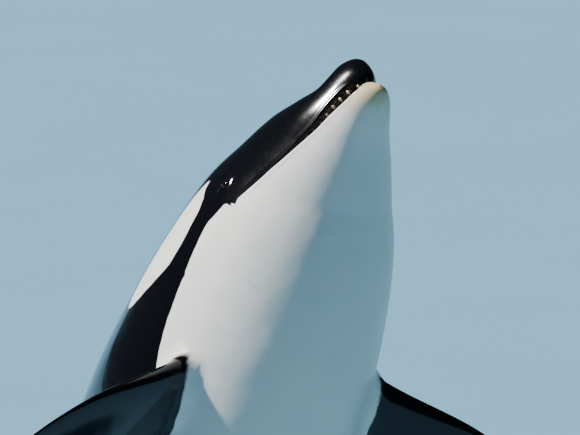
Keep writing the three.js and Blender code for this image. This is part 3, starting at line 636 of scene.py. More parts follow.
def dorsal_fin():
    base = (DORSAL_REAR - DORSAL_FRONT) * LENGTH
    _, to_head, to_back, to_left = frame_at(np.array((DORSAL_FRONT + DORSAL_REAR) / 2))
    front = place(DORSAL_FRONT, 0.0, float(back_height(DORSAL_FRONT)) * LENGTH)

    def lead(h):
        h = np.maximum(h, 0)
        return base * (DORSAL_SWEEP * h ** 1.2 + DORSAL_HOOK * h ** 3)

    def trail(h):
        return base * (1 - DORSAL_HOLLOW * np.maximum(h, 0) ** 0.8 * (1 - h) + DORSAL_OVERHANG * h)

    def rounding(h):
        past = np.maximum(0, (h - DORSAL_ROUND_FROM) / (1 - DORSAL_ROUND_FROM))
        return np.sqrt(np.clip(1 - past ** 3, 0, 1))

    def centre(h):
        behind = (lead(h) + trail(h)) / 2
        return front + (h * DORSAL_HEIGHT)[:, None] * to_back - behind[:, None] * to_head

    def thickness(h):
        blade = mix(DORSAL_THICK, DORSAL_TIP_THICK, np.maximum(h, 0) ** 0.7) * mix(0.5, 1, rounding(h))
        foot = np.exp(-((np.maximum(h, 0) * DORSAL_HEIGHT / DORSAL_FOOT_HEIGHT) ** 2))
        return blade + DORSAL_FOOT_EXTRA * foot

    return bladed(
        "dorsal_fin",
        lambda x: mix(DORSAL_SUNK, DORSAL_END, 1 - (1 - x) ** DORSAL_CROWDING),
        centre,
        lambda h: (trail(h) - lead(h)) * mix(DORSAL_TIP_CHORD, 1, rounding(h)),
        thickness,
        to_head,
        to_left,
    )


fins.append(dorsal_fin())
print("dorsal fin:", len(fins[-1].data.polygons), "faces")

# %% [markdown]
# Both flukes are one blade, from tip to tip, with the notch in the middle of its rear edge. The
# tips hang a little below the middle.

# %% Flukes
FLUKE_REACH = 0.13 * LENGTH
FLUKE_FRONT = 0.918
FLUKE_THICK = 0.074
FLUKE_TIP_THICK = 0.016
FLUKE_ROOT = 0.985
FLUKE_LIFT = 0.04
FLUKE_TIP_BACK = 1.02
FLUKE_WAVE = 0.16
FLUKE_SWEEP = 0.14
FLUKE_END = 0.995
FLUKE_CROWDING = 1.2
FLUKE_RINGS = 92


def fluke_lead(u):
    """How far ahead of the notch the front edge lies, at a share of the reach to either side."""
    return (1 - FLUKE_FRONT) * LENGTH * (1 - FLUKE_TIP_BACK * np.abs(u) ** 1.5)


def fluke_trail(u):
    """The same for the rear edge, which waves out from the notch."""
    u = np.abs(u)
    wave = np.sin(math.pi * np.minimum(1, u * 1.15) ** 0.6)
    return -(1 - FLUKE_FRONT) * LENGTH * (FLUKE_WAVE * wave + FLUKE_SWEEP * u * u)


def fluke_notch():
    """The notch between the flukes, and the ways to the head, back and left there."""
    origin, to_head, to_back, to_left = frame_at(np.array(FLUKE_ROOT))
    return origin - (1 - FLUKE_ROOT) * LENGTH * to_head, to_head, to_back, to_left


def flukes():
    notch, to_head, to_back, to_left = fluke_notch()

    def centre(u):
        ahead = (fluke_lead(u) + fluke_trail(u)) / 2
        return (notch + (u * FLUKE_REACH)[:, None] * to_left + ahead[:, None] * to_head
                - (FLUKE_LIFT * u * u)[:, None] * to_back)

    return bladed(
        "flukes",
        lambda x: FLUKE_END * np.sign(x - 0.5) * (1 - (1 - np.abs(2 * x - 1)) ** FLUKE_CROWDING),
        centre,
        lambda u: fluke_lead(u) - fluke_trail(u),
        lambda u: mix(FLUKE_THICK, FLUKE_TIP_THICK, smoothstep(0, 0.9, np.abs(u))),
        to_head,
        to_back,
        rings=FLUKE_RINGS,
    )


fins.append(flukes())
print("flukes:", len(fins[-1].data.polygons), "faces")

# %% [markdown]
# The fins are united with the skin. The points that the union adds mark the seam, and the skin
# round it is smoothed twice, the second time close by, which leaves a soft fillet.

# %% Joining the fins to the body
def points_of(piece):
    found = np.zeros(len(piece.data.vertices) * 3, np.float32)
    piece.data.vertices.foreach_get("co", found)
    return found.reshape(-1, 3).astype(float)


def select_points(piece, chosen):
    """Selects the chosen points, and with them the faces that lie between them."""
    bpy.ops.object.mode_set(mode="EDIT")
    bpy.ops.mesh.select_mode(type="VERT")
    bpy.ops.mesh.select_all(action="DESELECT")
    bpy.ops.object.mode_set(mode="OBJECT")
    piece.data.vertices.foreach_set("select", np.asarray(chosen, bool))
    bpy.ops.object.mode_set(mode="EDIT")


def tree_of(points):
    """A tree that finds the nearest of the points quickly."""
    tree = kdtree.KDTree(len(points))
    for i, point in enumerate(points):
        tree.insert(point, i)
    tree.balance()
    return tree


FILLET_REACH = 0.06
FILLET_ROUNDS = 14
MOVED = 0.0001
before = [points_of(skin)] + [points_of(fin) for fin in fins]
blades = joined(fins, "fins")
only(skin)
union = skin.modifiers.new("fins", "BOOLEAN")
union.operation = "UNION"
union.solver = "EXACT"
union.object = blades
bpy.ops.object.modifier_apply(modifier=union.name)
bpy.data.objects.remove(blades)
old = tree_of(np.concatenate(before))
now = points_of(skin)
fresh = np.array([old.find(point)[2] > MOVED for point in now])
seam = tree_of(now[fresh])
distance = np.array([seam.find(point)[2] for point in now])
only(skin)
for reach in (FILLET_REACH, FILLET_REACH / 2):
    select_points(skin, distance < reach)
    bpy.ops.mesh.vertices_smooth(factor=0.5, repeat=FILLET_ROUNDS)
    bpy.ops.object.mode_set(mode="OBJECT")
print("seam points:", int(fresh.sum()), "faces:", len(skin.data.polygons), "open:", open_edges(skin))

# %% [markdown]
# The lids are small beside the body, so the skin is divided more finely there before it is
# raised into a rim and pressed down into a socket. Doing this by a formula keeps both sides of
# the head alike.

# %% The lids round the eyes
EYE_SHARE = 0.1012
EYE_BACK = 0.0088 * LENGTH
EYE_RADIUS = 0.023
EYE_SUNK = 0.013
EYE_SIDE_STEP = 0.002
EYE_UP_STEP = 0.01
LID_LENGTH = 0.025
LID_HEIGHT = 0.0145
LID_CORNERS = 1.25
# Each ring round the eye: how high it rises, where it lies in lid sizes, and how wide it is.
LID_RIM = (0.0025, 1.15, 0.36)
LID_CREASE = (-0.0018, 1.75, 0.16)
SOCKET_DEPTH = 0.02
SOCKET_EDGE = (0.62, 0.95)
# Radius of each finer patch of skin, and how often its edges are cut.
EYE_PATCHES = [(0.08, 2), (0.05, 1)]


def skin_frame(side):
    """The place of an eye, and the directions along the head, up it and out of it there."""
    def at(share, back):
        return place(share, side * side_at(share, back), back)

    point = at(EYE_SHARE, EYE_BACK)
    along = unit(at(EYE_SHARE - EYE_SIDE_STEP, EYE_BACK) - at(EYE_SHARE + EYE_SIDE_STEP, EYE_BACK))
    up = at(EYE_SHARE, EYE_BACK + EYE_UP_STEP) - at(EYE_SHARE, EYE_BACK - EYE_UP_STEP)
    up = unit(up - up.dot(along) * along)
    out = np.cross(along, up)
    out = out if out.dot(frame_at(np.array(EYE_SHARE))[3]) * side > 0 else -out
    return point, along, up, out


def refine(piece, centre, radius, cuts):
    """Divides the skin's faces round a place more finely."""
    only(piece)
    near = np.linalg.norm(points_of(piece) - centre, axis=1) < radius
    select_points(piece, near)
    bpy.ops.mesh.subdivide(number_cuts=cuts)
    bpy.ops.object.mode_set(mode="OBJECT")


def set_points(piece, points):
    """Moves the points of a piece."""
    piece.data.vertices.foreach_set("co", points.astype(np.float32).ravel())
    piece.data.update()


def swell(height, width, off):
    """A soft swelling, highest where off is 0. A height below 0 makes a groove."""
    return height * np.exp(-((off / width) ** 2))


for side in (1, -1):
    point, along, up, out = skin_frame(side)
    for radius, cuts in EYE_PATCHES:
        refine(skin, point, radius, cuts)
    now = points_of(skin)
    off = now - point
    near = np.linalg.norm(off, axis=1) < EYE_PATCHES[0][0]
    x, y = off[near] @ along / LID_LENGTH, off[near] @ up / LID_HEIGHT
    ring = np.hypot(x, y * mix(1, LID_CORNERS, smoothstep(0.3, 1.0, np.abs(x))))
    rim = swell(LID_RIM[0], LID_RIM[2], ring - LID_RIM[1])
    crease = swell(LID_CREASE[0], LID_CREASE[2], ring - LID_CREASE[1]) * smoothstep(-0.3, 0.6, y)
    socket = -SOCKET_DEPTH * (1 - smoothstep(*SOCKET_EDGE, ring))
    now[near] += (rim + crease + socket)[:, None] * out
    set_points(skin, now)
print("skin with its lids:", len(skin.data.vertices), "points")

# %% [markdown]
# The blowhole is a bowed slit with a soft rim, on a low mound on top of the head.

# %% The blowhole
BLOWHOLE_PATCH = (0.11, 2)
BLOWHOLE_SHARE = 0.119
BLOWHOLE_HALF = 0.042
BLOWHOLE_AHEAD = 0.014
BLOWHOLE_BOW = 0.026
# Height and width of the mound, and of the rim and the slit of the blowhole.
MOUND = (0.006, 0.034)
MOUND_BEHIND = 0.004
MOUND_NARROW = 0.55
SLIT_RIM = (0.003, 0.005)
SLIT_RIM_OFF = 0.009
SLIT = (-0.02, 0.004)
SLIT_ENDS = (0.8, 1.05)
top = place(BLOWHOLE_SHARE, 0.0, float(back_height(BLOWHOLE_SHARE)) * LENGTH)
refine(skin, top, *BLOWHOLE_PATCH)
now = points_of(skin)
near = np.linalg.norm(now - top, axis=1) < BLOWHOLE_PATCH[0]
share, left, back = locate(now[near])
across = left / BLOWHOLE_HALF
slit = (share - BLOWHOLE_SHARE) * LENGTH - (BLOWHOLE_AHEAD - BLOWHOLE_BOW * across * across)
fade = 1 - smoothstep(*SLIT_ENDS, np.abs(across))
rise = swell(*MOUND, np.hypot(slit - MOUND_BEHIND, left * MOUND_NARROW))
rim = swell(*SLIT_RIM, np.abs(slit) - SLIT_RIM_OFF) * fade
hole = swell(*SLIT, slit) * fade
to_back = frame_at(share)[2]
now[near] += (rise + rim + hole)[:, None] * to_back

# The skin has no facets, so here and there it would stand out of the solids' box by a hair.
INSET = 0.0002
set_points(skin, np.clip(now, np.array(cad_box[0]) + INSET, np.array(cad_box[1]) - INSET))
bpy.ops.object.shade_smooth()
print("skin:", len(skin.data.vertices), "points,", len(skin.data.polygons), "faces")

# %% [markdown]
# The markings are worked out point by point. For each border the distance to it is stored on
# the skin, above zero inside the white. The finish then turns that distance into a sharp edge,
# which stays smooth however large the faces are. A stored colour would blur from point to point.

# %% How far round the body each point lies
NOTHING = 1e-4
SLOPE_STEP = 0.002
points = points_of(skin)
share, left, back = locate(points)
keel = keel_at(share)
side_power = mix(SIDE_POWER, KEEL_POWER, keel)
up_power = mix(np.where(back >= 0, BACK_POWER, BELLY_POWER), KEEL_POWER, keel)
height = np.where(back >= 0, back_height(share), belly_depth(share))
reach = height * LENGTH
rise = signed_power(back / np.maximum(reach, NOTHING), up_power / 2)
width = np.abs(left / np.maximum(half_width(share) * LENGTH, NOTHING)) ** (side_power / 2)
angle = np.arctan2(rise, width)
radius = (half_width(share) + height) / 2
arc = angle * radius * LENGTH


def line_of(rows):
    """A border's distance round the body from the middle of the side, and its slope."""
    degrees = through(rows, 1, root=False)
    turn = np.radians(degrees(share))
    change = degrees(share + SLOPE_STEP) - degrees(share - SLOPE_STEP)
    slope = np.radians(change) / (2 * SLOPE_STEP) * radius
    return turn * radius * LENGTH, np.sqrt(1 + slope * slope)


print("most of the skin lies", round(float(np.degrees(np.median(angle)))), "degrees round the side")

# %% Where the white of the belly ends
# Share, and the height of the border round the side in degrees, on the curve of the section.
BORDER = [
    (0.0985, -10.4),
    (0.1008, -9.8),
    (0.1034, -10.2),
    (0.1055, -10.8),
    (0.1063, -7.4),
    (0.1081, -8.8),
    (0.1086, -4.6),
    (0.112, -3.0),
    (0.1173, -2.2),
    (0.127, -0.8),
    (0.14, -2.2),
    (0.153, -4.2),
    (0.1590, -5.2),
    (0.1604, -6.3),
    (0.1625, -5.9),
    (0.171, -6.8),
    (0.186, -8.6),
    (0.2, -10.6),
    (0.215, -14.0),
    (0.24, -24.0),
    (0.275, -38.0),
    (0.31, -50.0),
    (0.36, -59.0),
    (0.43, -62.0),
    (0.5, -55.0),
    (0.55, -63.0),
    (0.64, -73.0),
    (0.72, -81.0),
    (0.75, -90.0),
]
BORDER_END_GAP = 0.005
INSIDE = 0.02
JAW_COLOUR_ENDS = (GAPE - 0.0045, GAPE - 0.0005)
border, slope = line_of(BORDER)
belly_end = BORDER[-1][0] - BORDER_END_GAP
belly_white = np.minimum((border - arc) / slope, (belly_end - share) * LENGTH)

# Ahead of the corner of the mouth, each jaw has its own colour right up to its lip.
below = back < -mouth_depth(np.clip(share, 0, GAPE)) * LENGTH
jaw_colour = np.where(below, INSIDE, -INSIDE)
belly_white = mix(jaw_colour, belly_white, smoothstep(*JAW_COLOUR_ENDS, share))
print("points in the white of the belly:", int((belly_white > 0).sum()))

# %% The patch behind the eye and the lobe on the flank
PATCH_LOW = [
    (0.107, 25.5),
    (0.1115, 23.4),
    (0.1147, 21.0),
    (0.1187, 15.5),
    (0.1254, 11.8),
    (0.136, 9.8),
    (0.151, 8.0),
    (0.1625, 8.2),
    (0.1794, 12.2),
    (0.1941, 17.0),
    (0.2065, 21.5),
    (0.213, 26.0),
]
PATCH_HIGH = [
    (0.107, 25.5),
    (0.1115, 26.8),
    (0.12, 29.0),
    (0.135, 30.5),
    (0.16, 31.0),
    (0.19, 31.0),
    (0.206, 29.5),
    (0.213, 26.0),
]
low, low_slope = line_of(PATCH_LOW)
high, high_slope = line_of(PATCH_HIGH)
patch_white = np.minimum((arc - low) / low_slope, (high - arc) / high_slope)
patch_ends = np.minimum(share - PATCH_LOW[0][0], PATCH_LOW[-1][0] - share) * LENGTH
patch_white = np.minimum(patch_white, patch_ends)

LOBE = [
    (0.47, -64.0, 0.016),
    (0.52, -52.0, 0.02),
    (0.555, -34.0, 0.0235),
    (0.59, -13.0, 0.0235),
    (0.62, 1.0, 0.0205),
    (0.645, 8.0, 0.0145),
    (0.658, 11.0, 0.008),
    (0.664, 12.0, 0.0),
]
middle, slope = line_of(LOBE)
half = through(LOBE, 2, root=False)(share) * LENGTH
lobe_ends = np.minimum(share - LOBE[0][0], LOBE[-1][0] - share) * LENGTH
lobe_white = np.minimum(half - np.abs(arc - middle) / slope, lobe_ends)
white = np.maximum(np.maximum(belly_white, patch_white), lobe_white)
print("points in the white:", int((white > 0).sum()), "of", len(white))

# %% The white under the flukes, and the fins that are black
DARK = -0.05
FIN_SWELL = 1.05
FIN_MARGIN = 0.03
TRUNK = (0.14, 0.9)
FLUKES_FROM = 0.88
FLUKE_WHITE_FROM = 0.925
FLUKE_DARK_TIP = 0.94
FLUKE_DARK_EDGE = 0.03
UNDERSIDE = 0.01
UNDER_SHARPNESS = 4
body_reach = FIN_SWELL * np.maximum(half_width(share) * LENGTH, reach)
on_fin = (share > TRUNK[0]) & (share < TRUNK[1]) & (np.hypot(left, back) > body_reach + FIN_MARGIN)
white = np.where(on_fin, np.minimum(white, DARK), white)

notch, to_head, to_back, to_left = fluke_notch()
off = points - notch
across = off @ to_left / FLUKE_REACH
chord = off @ to_head
under = -(off @ to_back + FLUKE_LIFT * across * across)
inside = np.minimum(fluke_lead(across) - chord, chord - fluke_trail(across)) - FLUKE_DARK_EDGE
inside = np.minimum(inside, (FLUKE_DARK_TIP - np.abs(across)) * FLUKE_REACH)
fluke_white = np.minimum(inside, under * UNDER_SHARPNESS - UNDERSIDE)
fluke_white = np.minimum(fluke_white, (share - FLUKE_WHITE_FROM) * LENGTH)
white = np.where(share > FLUKES_FROM, fluke_white, white)
print("points in the white with the flukes:", int((white > 0).sum()))

# %% The grey saddle, the gums and the yellowed chin
SADDLE_SHARE = 0.555
SADDLE_LENGTH = 0.058
SADDLE_ARC = 0.36
SADDLE_WIDTH = 0.21
SADDLE_SLANT = 0.1
SADDLE_SHARPNESS = 2.2
SADDLE_OFF_BODY = (0.015, 0.06)
along = (share - SADDLE_SHARE) / SADDLE_LENGTH
round_back = (arc - SADDLE_ARC - SADDLE_SLANT * along) / SADDLE_WIDTH
saddle = np.clip((1.0 - np.hypot(along, round_back)) * SADDLE_SHARPNESS, 0, 1)
off_body = np.hypot(left, back) - np.hypot(*section(share, angle))
saddle *= 1 - smoothstep(*SADDLE_OFF_BODY, off_body)

# Inside the lips the gums begin at a little depth, and at the very front the skin goes on.
SNOUT = 0.0005
GUM_DEPTH = (0.003, 0.006)
GUM_SHARE = (0.008, 0.012)
CHIN_SHARE = (0.006, 0.034)
in_mouth = (share > SNOUT) & (share < GAPE)
ahead = np.clip(share, NOTHING, 1)
jaw_ahead = np.clip(share, JAW_STATIONS[0][0], 1)
off_line = back + mouth_depth(np.clip(share, 0, GAPE)) * LENGTH
upper_side = section(ahead, body_angle(ahead, back))[0]
lower_side = jaw_section(jaw_ahead, jaw_angle(jaw_ahead, back))[0]
depth_in = np.where(off_line > 0, upper_side, lower_side) - np.abs(left)
between_lips = np.abs(off_line) < lips_apart(share) / 2 + PALATE_RISE
gum = np.where(in_mouth & between_lips, smoothstep(*GUM_DEPTH, depth_in), 0)
gum *= smoothstep(*GUM_SHARE, share)
chin = (1 - smoothstep(*CHIN_SHARE, share)) * below
print("fluke white:", int((fluke_white > 0).sum()), "mouth:", int((gum > 0.5).sum()))

# %% Storing the markings on the skin
def store(piece, name, values):
    """Keeps one value for each point, under a name that a finish can read."""
    layer = piece.data.attributes.new(name, "FLOAT", "POINT")
    layer.data.foreach_set("value", np.asarray(values, np.float32))


for name, values in {"white": white, "saddle": saddle, "mouth": gum, "chin": chin}.items():
    store(skin, name, values)

around = np.where(left >= 0, 1.0, -1.0) * (angle + math.pi / 2) * radius * LENGTH
corners = np.zeros(len(skin.data.loops), int)
skin.data.loops.foreach_get("vertex_index", corners)
layer = skin.data.uv_layers.new(name="along_and_around")
uv = np.stack([share * LENGTH, around], -1)[corners]
layer.data.foreach_set("uv", uv.astype(np.float32).ravel())
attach(skin, "root")
FLESH = ["head", "lower_jaw", "neck", "chest", "loin", "belly_rear", "tail_stock_front",
         "tail_stock_rear", "flipper_left", "flipper_right", "dorsal_fin", "fluke_left", "fluke_right"]
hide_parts(*FLESH)
print("stored on the skin:", [layer.name for layer in skin.data.attributes if layer.domain == "POINT"])

# %% [markdown]
# Shader maths reads best as ordinary sums. A small class wraps the output of a node, so that
# adding or multiplying two of them adds a Math node. Any other node comes from one method.

# %% Finishes
class Number:
    """A number in a shader, which can be used in sums."""

    def __init__(self, finish, socket):
        self.finish = finish
        self.socket = socket

    def math(self, operation, *others):
        return self.finish.node("ShaderNodeMath", {"operation": operation}, self, *others)

    def __add__(self, other):
        return self.math("ADD", other)

    def __sub__(self, other):
        return self.math("SUBTRACT", other)

    def __rsub__(self, other):
        return self.finish.node("ShaderNodeMath", {"operation": "SUBTRACT"}, other, self)

    def __mul__(self, other):
        return self.math("MULTIPLY", other)

    def __truediv__(self, other):
        return self.math("DIVIDE", other)

    __radd__ = __add__
    __rmul__ = __mul__

    def between(self, low, high):
        """0 below low, 1 above high and smooth in between."""
        kind = {"interpolation_type": "SMOOTHSTEP"}
        return self.finish.node("ShaderNodeMapRange", kind, self, low, high)


class Finish:
    """A material with one Principled shader, and the nodes that feed it."""

    def __init__(self, name, **fixed):
        self.material = bpy.data.materials.new(name)
        self.material.use_nodes = True
        self.tree = self.material.node_tree
        self.shader = self.tree.nodes["Principled BSDF"]
        for socket, value in fixed.items():
            self.shader.inputs[socket.replace("_", " ")].default_value = value

    def node(self, kind, settings, *inputs, out=0, **named):
        """Adds a node: its settings, then the value or link of each socket by place or name."""
        node = self.tree.nodes.new(kind)
        for key, value in settings.items():
            setattr(node, key, value)
        for key, value in [*enumerate(inputs), *named.items()]:
            socket = node.inputs[key if isinstance(key, int) else key.replace("_", " ")]
            if isinstance(value, Number):
                self.tree.links.new(value.socket, socket)
            else:
                socket.default_value = value
        return Number(self, node.outputs[out])

    def attribute(self, name):
        return self.node("ShaderNodeAttribute", {"attribute_name": name}, out="Fac")

    def dot(self, vector, way):
        kind = {"operation": "DOT_PRODUCT"}
        return self.node("ShaderNodeVectorMath", kind, vector, tuple(way), out="Value")

    def place(self):
        return self.node("ShaderNodeTexCoord", {}, out="Object")

    def noise(self, scale, detail=3, roughness=0.5):
        """Soft noise over the piece. The scale is the number of spots to a metre, about."""
        return self.node(
            "ShaderNodeTexNoise", {}, out="Fac", Vector=self.place(),
            Scale=scale, Detail=detail, Roughness=roughness,
        )

    def blend(self, amount, under, over):
        """Lays one colour over another by an amount from 0 to 1."""
        node = self.tree.nodes.new("ShaderNodeMix")
        node.data_type = "RGBA"
        self.tree.links.new(amount.socket, node.inputs[0])
        for index, value in ((6, under), (7, over)):
            if isinstance(value, Number):
                self.tree.links.new(value.socket, node.inputs[index])
            else:
                node.inputs[index].default_value = (*value, 1)
        return Number(self, node.outputs[2])

    def feed(self, **inputs):
        for name, value in inputs.items():
            self.tree.links.new(value.socket, self.shader.inputs[name.replace("_", " ")])

    def bump(self, height, strength, distance):
        bump = self.node("ShaderNodeBump", {}, Height=height, Strength=strength, Distance=distance)
        self.feed(Normal=bump)

# %% [markdown]
# The skin is smooth and wet. Its black is almost without colour, and its white is a warm light
# grey with faint mottling. A coat over both, thicker on the black, gives the wet shine. The
# borders are sharp, but not ruled: a little noise moves them by a millimetre or two.

# %% The skin's finish
BLACK = (0.0022, 0.0026, 0.0042)
WHITE = (0.80, 0.785, 0.75)
WHITE_SHADED = (0.755, 0.75, 0.73)
SCRATCH_GREY = (0.36, 0.36, 0.37)
CHIN_YELLOW = (0.60, 0.50, 0.27)
CHIN_PINK = (0.78, 0.44, 0.38)
SADDLE_GREY = (0.16, 0.17, 0.18)
GUM = (0.075, 0.04, 0.029)
GUM_PALE = (0.17, 0.10, 0.075)
GREY_LEAST = 0.55
BORDER_SOFT = 0.0025
BORDER_WOBBLE = 0.008
CHIN_LEAST = 0.45
CHIN_VARIES = 0.5
PINK_MOST = 0.6
SCRATCH_SHOWS = 0.4
BLACK_ROUGH = 0.14
ROUGH_VARIES = 0.1
WHITE_ROUGHER = 0.22
BLACK_COAT = 0.7
WHITE_COAT_LESS = 0.45
# The flippers are black from a little outside their roots, and not on the body's far side.
ROOT_MARGIN = 0.01
CORE_CHORD = 0.4
CORE_SOFT = 0.03
ON_BLADE = (0.02, 0.06)
BLADE_ENDS = (1.4, 1.6)
FAR_SIDE = 0.35
FAR_SOFT = 0.02


def clear_of_flipper(finish, side):
    """1 where the skin lies outside a flipper and its root, worked out from the place itself."""
    root, span, chord, flat = flipper_axes(side)
    x, y, s = (finish.dot(finish.place(), way) - float(root @ way) for way in (chord, flat, span))
    x = x / (FLIPPER_CHORD * CORE_CHORD + ROOT_MARGIN)
    y = y / (FLIPPER_THICK / 2 + ROOT_MARGIN)
    ring = (x * x + y * y).math("SQRT")
    outside = ring.between(1 - CORE_SOFT, 1 + CORE_SOFT)
    along = s / FLIPPER_REACH
    on_blade = along.between(*ON_BLADE) * (1 - ring.between(*BLADE_ENDS))
    far_side = 1 - along.between(-FAR_SIDE - FAR_SOFT, -FAR_SIDE)
    return (outside * (1 - on_blade)).math("MAXIMUM", far_side)


# Old scratches on the right side: share and degrees round the side at both ends of each.
SCRATCHES = [
    ((0.1401, -30.2), (0.1408, -38.8)),
    ((0.1408, -38.8), (0.1429, -47.8)),
    ((0.1738, -32.5), (0.1752, -38.8)),
    ((0.1757, -38.4), (0.177, -45.2)),
]
SCRATCH_HALF = 0.0022
SCRATCH_FADE = 0.004


def on_the_sheet(share, degrees):
    """A place on the right side, as metres along the body and round it."""
    depth = float(half_width(share) + belly_depth(share)) / 2
    return np.array([share * LENGTH, -math.radians(degrees + 90) * depth * LENGTH])


def scratch(finish, ends):
    """1 along a straight scratch between two places on the right side, fading at its edges."""
    start, end = (on_the_sheet(*place) for place in ends)
    way = unit(end - start)
    uv = finish.node("ShaderNodeUVMap", {"uv_map": "along_and_around"})
    along, across = (
        finish.dot(uv, (*axis, 0)) - float(start @ np.array(axis))
        for axis in (tuple(way), (-way[1], way[0]))
    )
    half = float((end - start) @ way) / 2
    beyond = (along - half).math("ABSOLUTE").between(half - SCRATCH_FADE, half)
    return (1 - across.math("ABSOLUTE").between(SCRATCH_HALF / 3, SCRATCH_HALF)) * (1 - beyond)


wet_skin = Finish("wet_skin", Coat_Roughness=0.05, Coat_IOR=1.33, IOR=1.33, Specular_IOR_Level=0.3)
wobble = wet_skin.noise(22.0, detail=4) - 0.5
in_white = (wet_skin.attribute("white") + wobble * BORDER_WOBBLE).between(-BORDER_SOFT, BORDER_SOFT)
for side in (1, -1):
    in_white = in_white.math("MINIMUM", clear_of_flipper(wet_skin, side))
mottle = wet_skin.noise(9.0, detail=5, roughness=0.6)
pale = wet_skin.blend(mottle.between(0.35, 0.75), WHITE, WHITE_SHADED)
chin_mask = wet_skin.attribute("chin")
yellowed = chin_mask * (CHIN_LEAST + wet_skin.noise(14.0).between(0.3, 0.62) * CHIN_VARIES)
pale = wet_skin.blend(yellowed, pale, CHIN_YELLOW)
pinked = chin_mask.between(0.75, 1.0) * wet_skin.noise(30.0, detail=2).between(0.5, 0.62) * PINK_MOST
pale = wet_skin.blend(pinked, pale, CHIN_PINK)
scratched = scratch(wet_skin, SCRATCHES[0])
for ends in SCRATCHES[1:]:
    scratched = scratched.math("MAXIMUM", scratch(wet_skin, ends))
pale = wet_skin.blend(scratched * SCRATCH_SHOWS, pale, SCRATCH_GREY)
greyed = GREY_LEAST + (1 - GREY_LEAST) * wet_skin.noise(12.0, detail=4)
dark = wet_skin.blend(wet_skin.attribute("saddle") * greyed, BLACK, SADDLE_GREY)
colour = wet_skin.blend(in_white, dark, pale)
gums = wet_skin.blend(wet_skin.noise(45.0, detail=4).between(0.4, 0.65), GUM, GUM_PALE)
colour = wet_skin.blend(wet_skin.attribute("mouth"), colour, gums)
smoothness = wet_skin.noise(60.0, detail=3)
wet_skin.feed(
    Base_Color=colour,
    Roughness=BLACK_ROUGH + smoothness * ROUGH_VARIES + in_white * WHITE_ROUGHER,
    Coat_Weight=BLACK_COAT - in_white * WHITE_COAT_LESS,
)
swells = wet_skin.noise(5.0, detail=2) * 3.0 + wet_skin.noise(140.0, detail=2) * 0.05
wet_skin.bump(swells, strength=0.5, distance=0.004)
skin.data.materials.clear()
skin.data.materials.append(wet_skin.material)
print("finish of the skin:", len(wet_skin.tree.nodes), "nodes")

# %% [markdown]
# The teeth are blunt cones with rounded tips. They stand along the lips, the lower ones between
# the upper ones, and each reaches a little less than halfway across the gap.

# %% Teeth
TEETH_A_SIDE = 10
TEETH_FRONT = 0.0105
TEETH_REAR = 0.066
TOOTH_RADIUS = 0.0105
TOOTH_INSET = 0.02
TOOTH_ROOT = 0.014
TOOTH_SHOWN_ABOVE = 0.42
TOOTH_SHOWN_BELOW = 0.36
TOOTH_SIDES = 14
TOOTH_CUTS = (0.35, 0.65, 0.85)
TOOTH_BLUNT = 1.02
TOOTH_TAPER = 2.2
TOOTH_SMALLEST = 0.75
TOOTH_EDGE = math.radians(50)
# How far along its own stretch of the lip each tooth stands.
UPPER_START = 0.25
LOWER_START = 0.75
IVORY = (0.21, 0.16, 0.115)
IVORY_STAINED = (0.11, 0.075, 0.05)


def tooth(radius, height):
    """A blunt cone with a rounded tip, standing on the origin."""
    bpy.ops.mesh.primitive_cylinder_add(vertices=TOOTH_SIDES, radius=radius, depth=height,
                                        location=(0, 0, height / 2))
    cone = bpy.context.object
    bpy.ops.object.transform_apply(location=True)
    bpy.ops.object.mode_set(mode="EDIT")
    for share in TOOTH_CUTS:
        bpy.ops.mesh.select_all(action="SELECT")
        bpy.ops.mesh.bisect(plane_co=(0, 0, height * share), plane_no=(0, 0, 1))
    bpy.ops.object.mode_set(mode="OBJECT")
    now = points_of(cone)
    rise = np.clip(now[:, 2] / height, 0, 1)
    now[:, :2] *= np.sqrt(np.clip(TOOTH_BLUNT - rise ** TOOTH_TAPER, 0, 1))[:, None]
    set_points(cone, now)
    return cone


def teeth_at(upper, number):
    """The tooth with this number in the upper or lower jaw, on the right and on the left."""
    sign = -1 if upper else 1
    along = (number + (UPPER_START if upper else LOWER_START)) / TEETH_A_SIDE
    share = mix(TEETH_FRONT, TEETH_REAR, along)
    apart = float(lips_apart(share))
    reach = apart * (TOOTH_SHOWN_ABOVE if upper else TOOTH_SHOWN_BELOW)
    lip = -float(mouth_depth(share)) * LENGTH - sign * apart / 2
    section_of, angle_of = (section, body_angle) if upper else (jaw_section, jaw_angle)
    side = float(section_of(share, angle_of(share, lip))[0]) - TOOTH_INSET
    radius = TOOTH_RADIUS * mix(TOOTH_SMALLEST, 1, math.sin(math.pi * along))
    _, to_head, to_back, to_left = frame_at(np.array(share))
    pair = []
    for hand in (-1, 1):
        cone = tooth(radius, TOOTH_ROOT + reach)
        foot = place(share, hand * side, lip - sign * TOOTH_ROOT)
        shape = points_of(cone)
        upright = shape[:, :1] * to_left + shape[:, 1:2] * to_head + shape[:, 2:] * sign * to_back
        set_points(cone, foot + upright)
        pair.append(cone)
    return pair


cones = [cone for upper in (True, False) for i in range(TEETH_A_SIDE) for cone in teeth_at(upper, i)]
teeth = joined(cones, "teeth")
bpy.ops.object.mode_set(mode="EDIT")
bpy.ops.mesh.select_all(action="SELECT")
bpy.ops.mesh.normals_make_consistent(inside=False)
bpy.ops.object.mode_set(mode="OBJECT")
bpy.ops.object.shade_smooth_by_angle(angle=TOOTH_EDGE)
ivory = Finish("tooth_ivory", Roughness=0.25, Coat_Weight=0.5, Coat_Roughness=0.1)
stain = ivory.noise(70.0, detail=4).between(0.35, 0.7)
ivory.feed(Base_Color=ivory.blend(stain, IVORY, IVORY_STAINED))
teeth.data.materials.append(ivory.material)
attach(teeth, "root")
print("teeth:", len(teeth.data.polygons), "faces")

# %% [markdown]
# The eye is a dark wet ball that shows only between the lids. Its iris is brown. How squarely
# each point of it faces outwards tells the finish where the iris and the pupil lie.

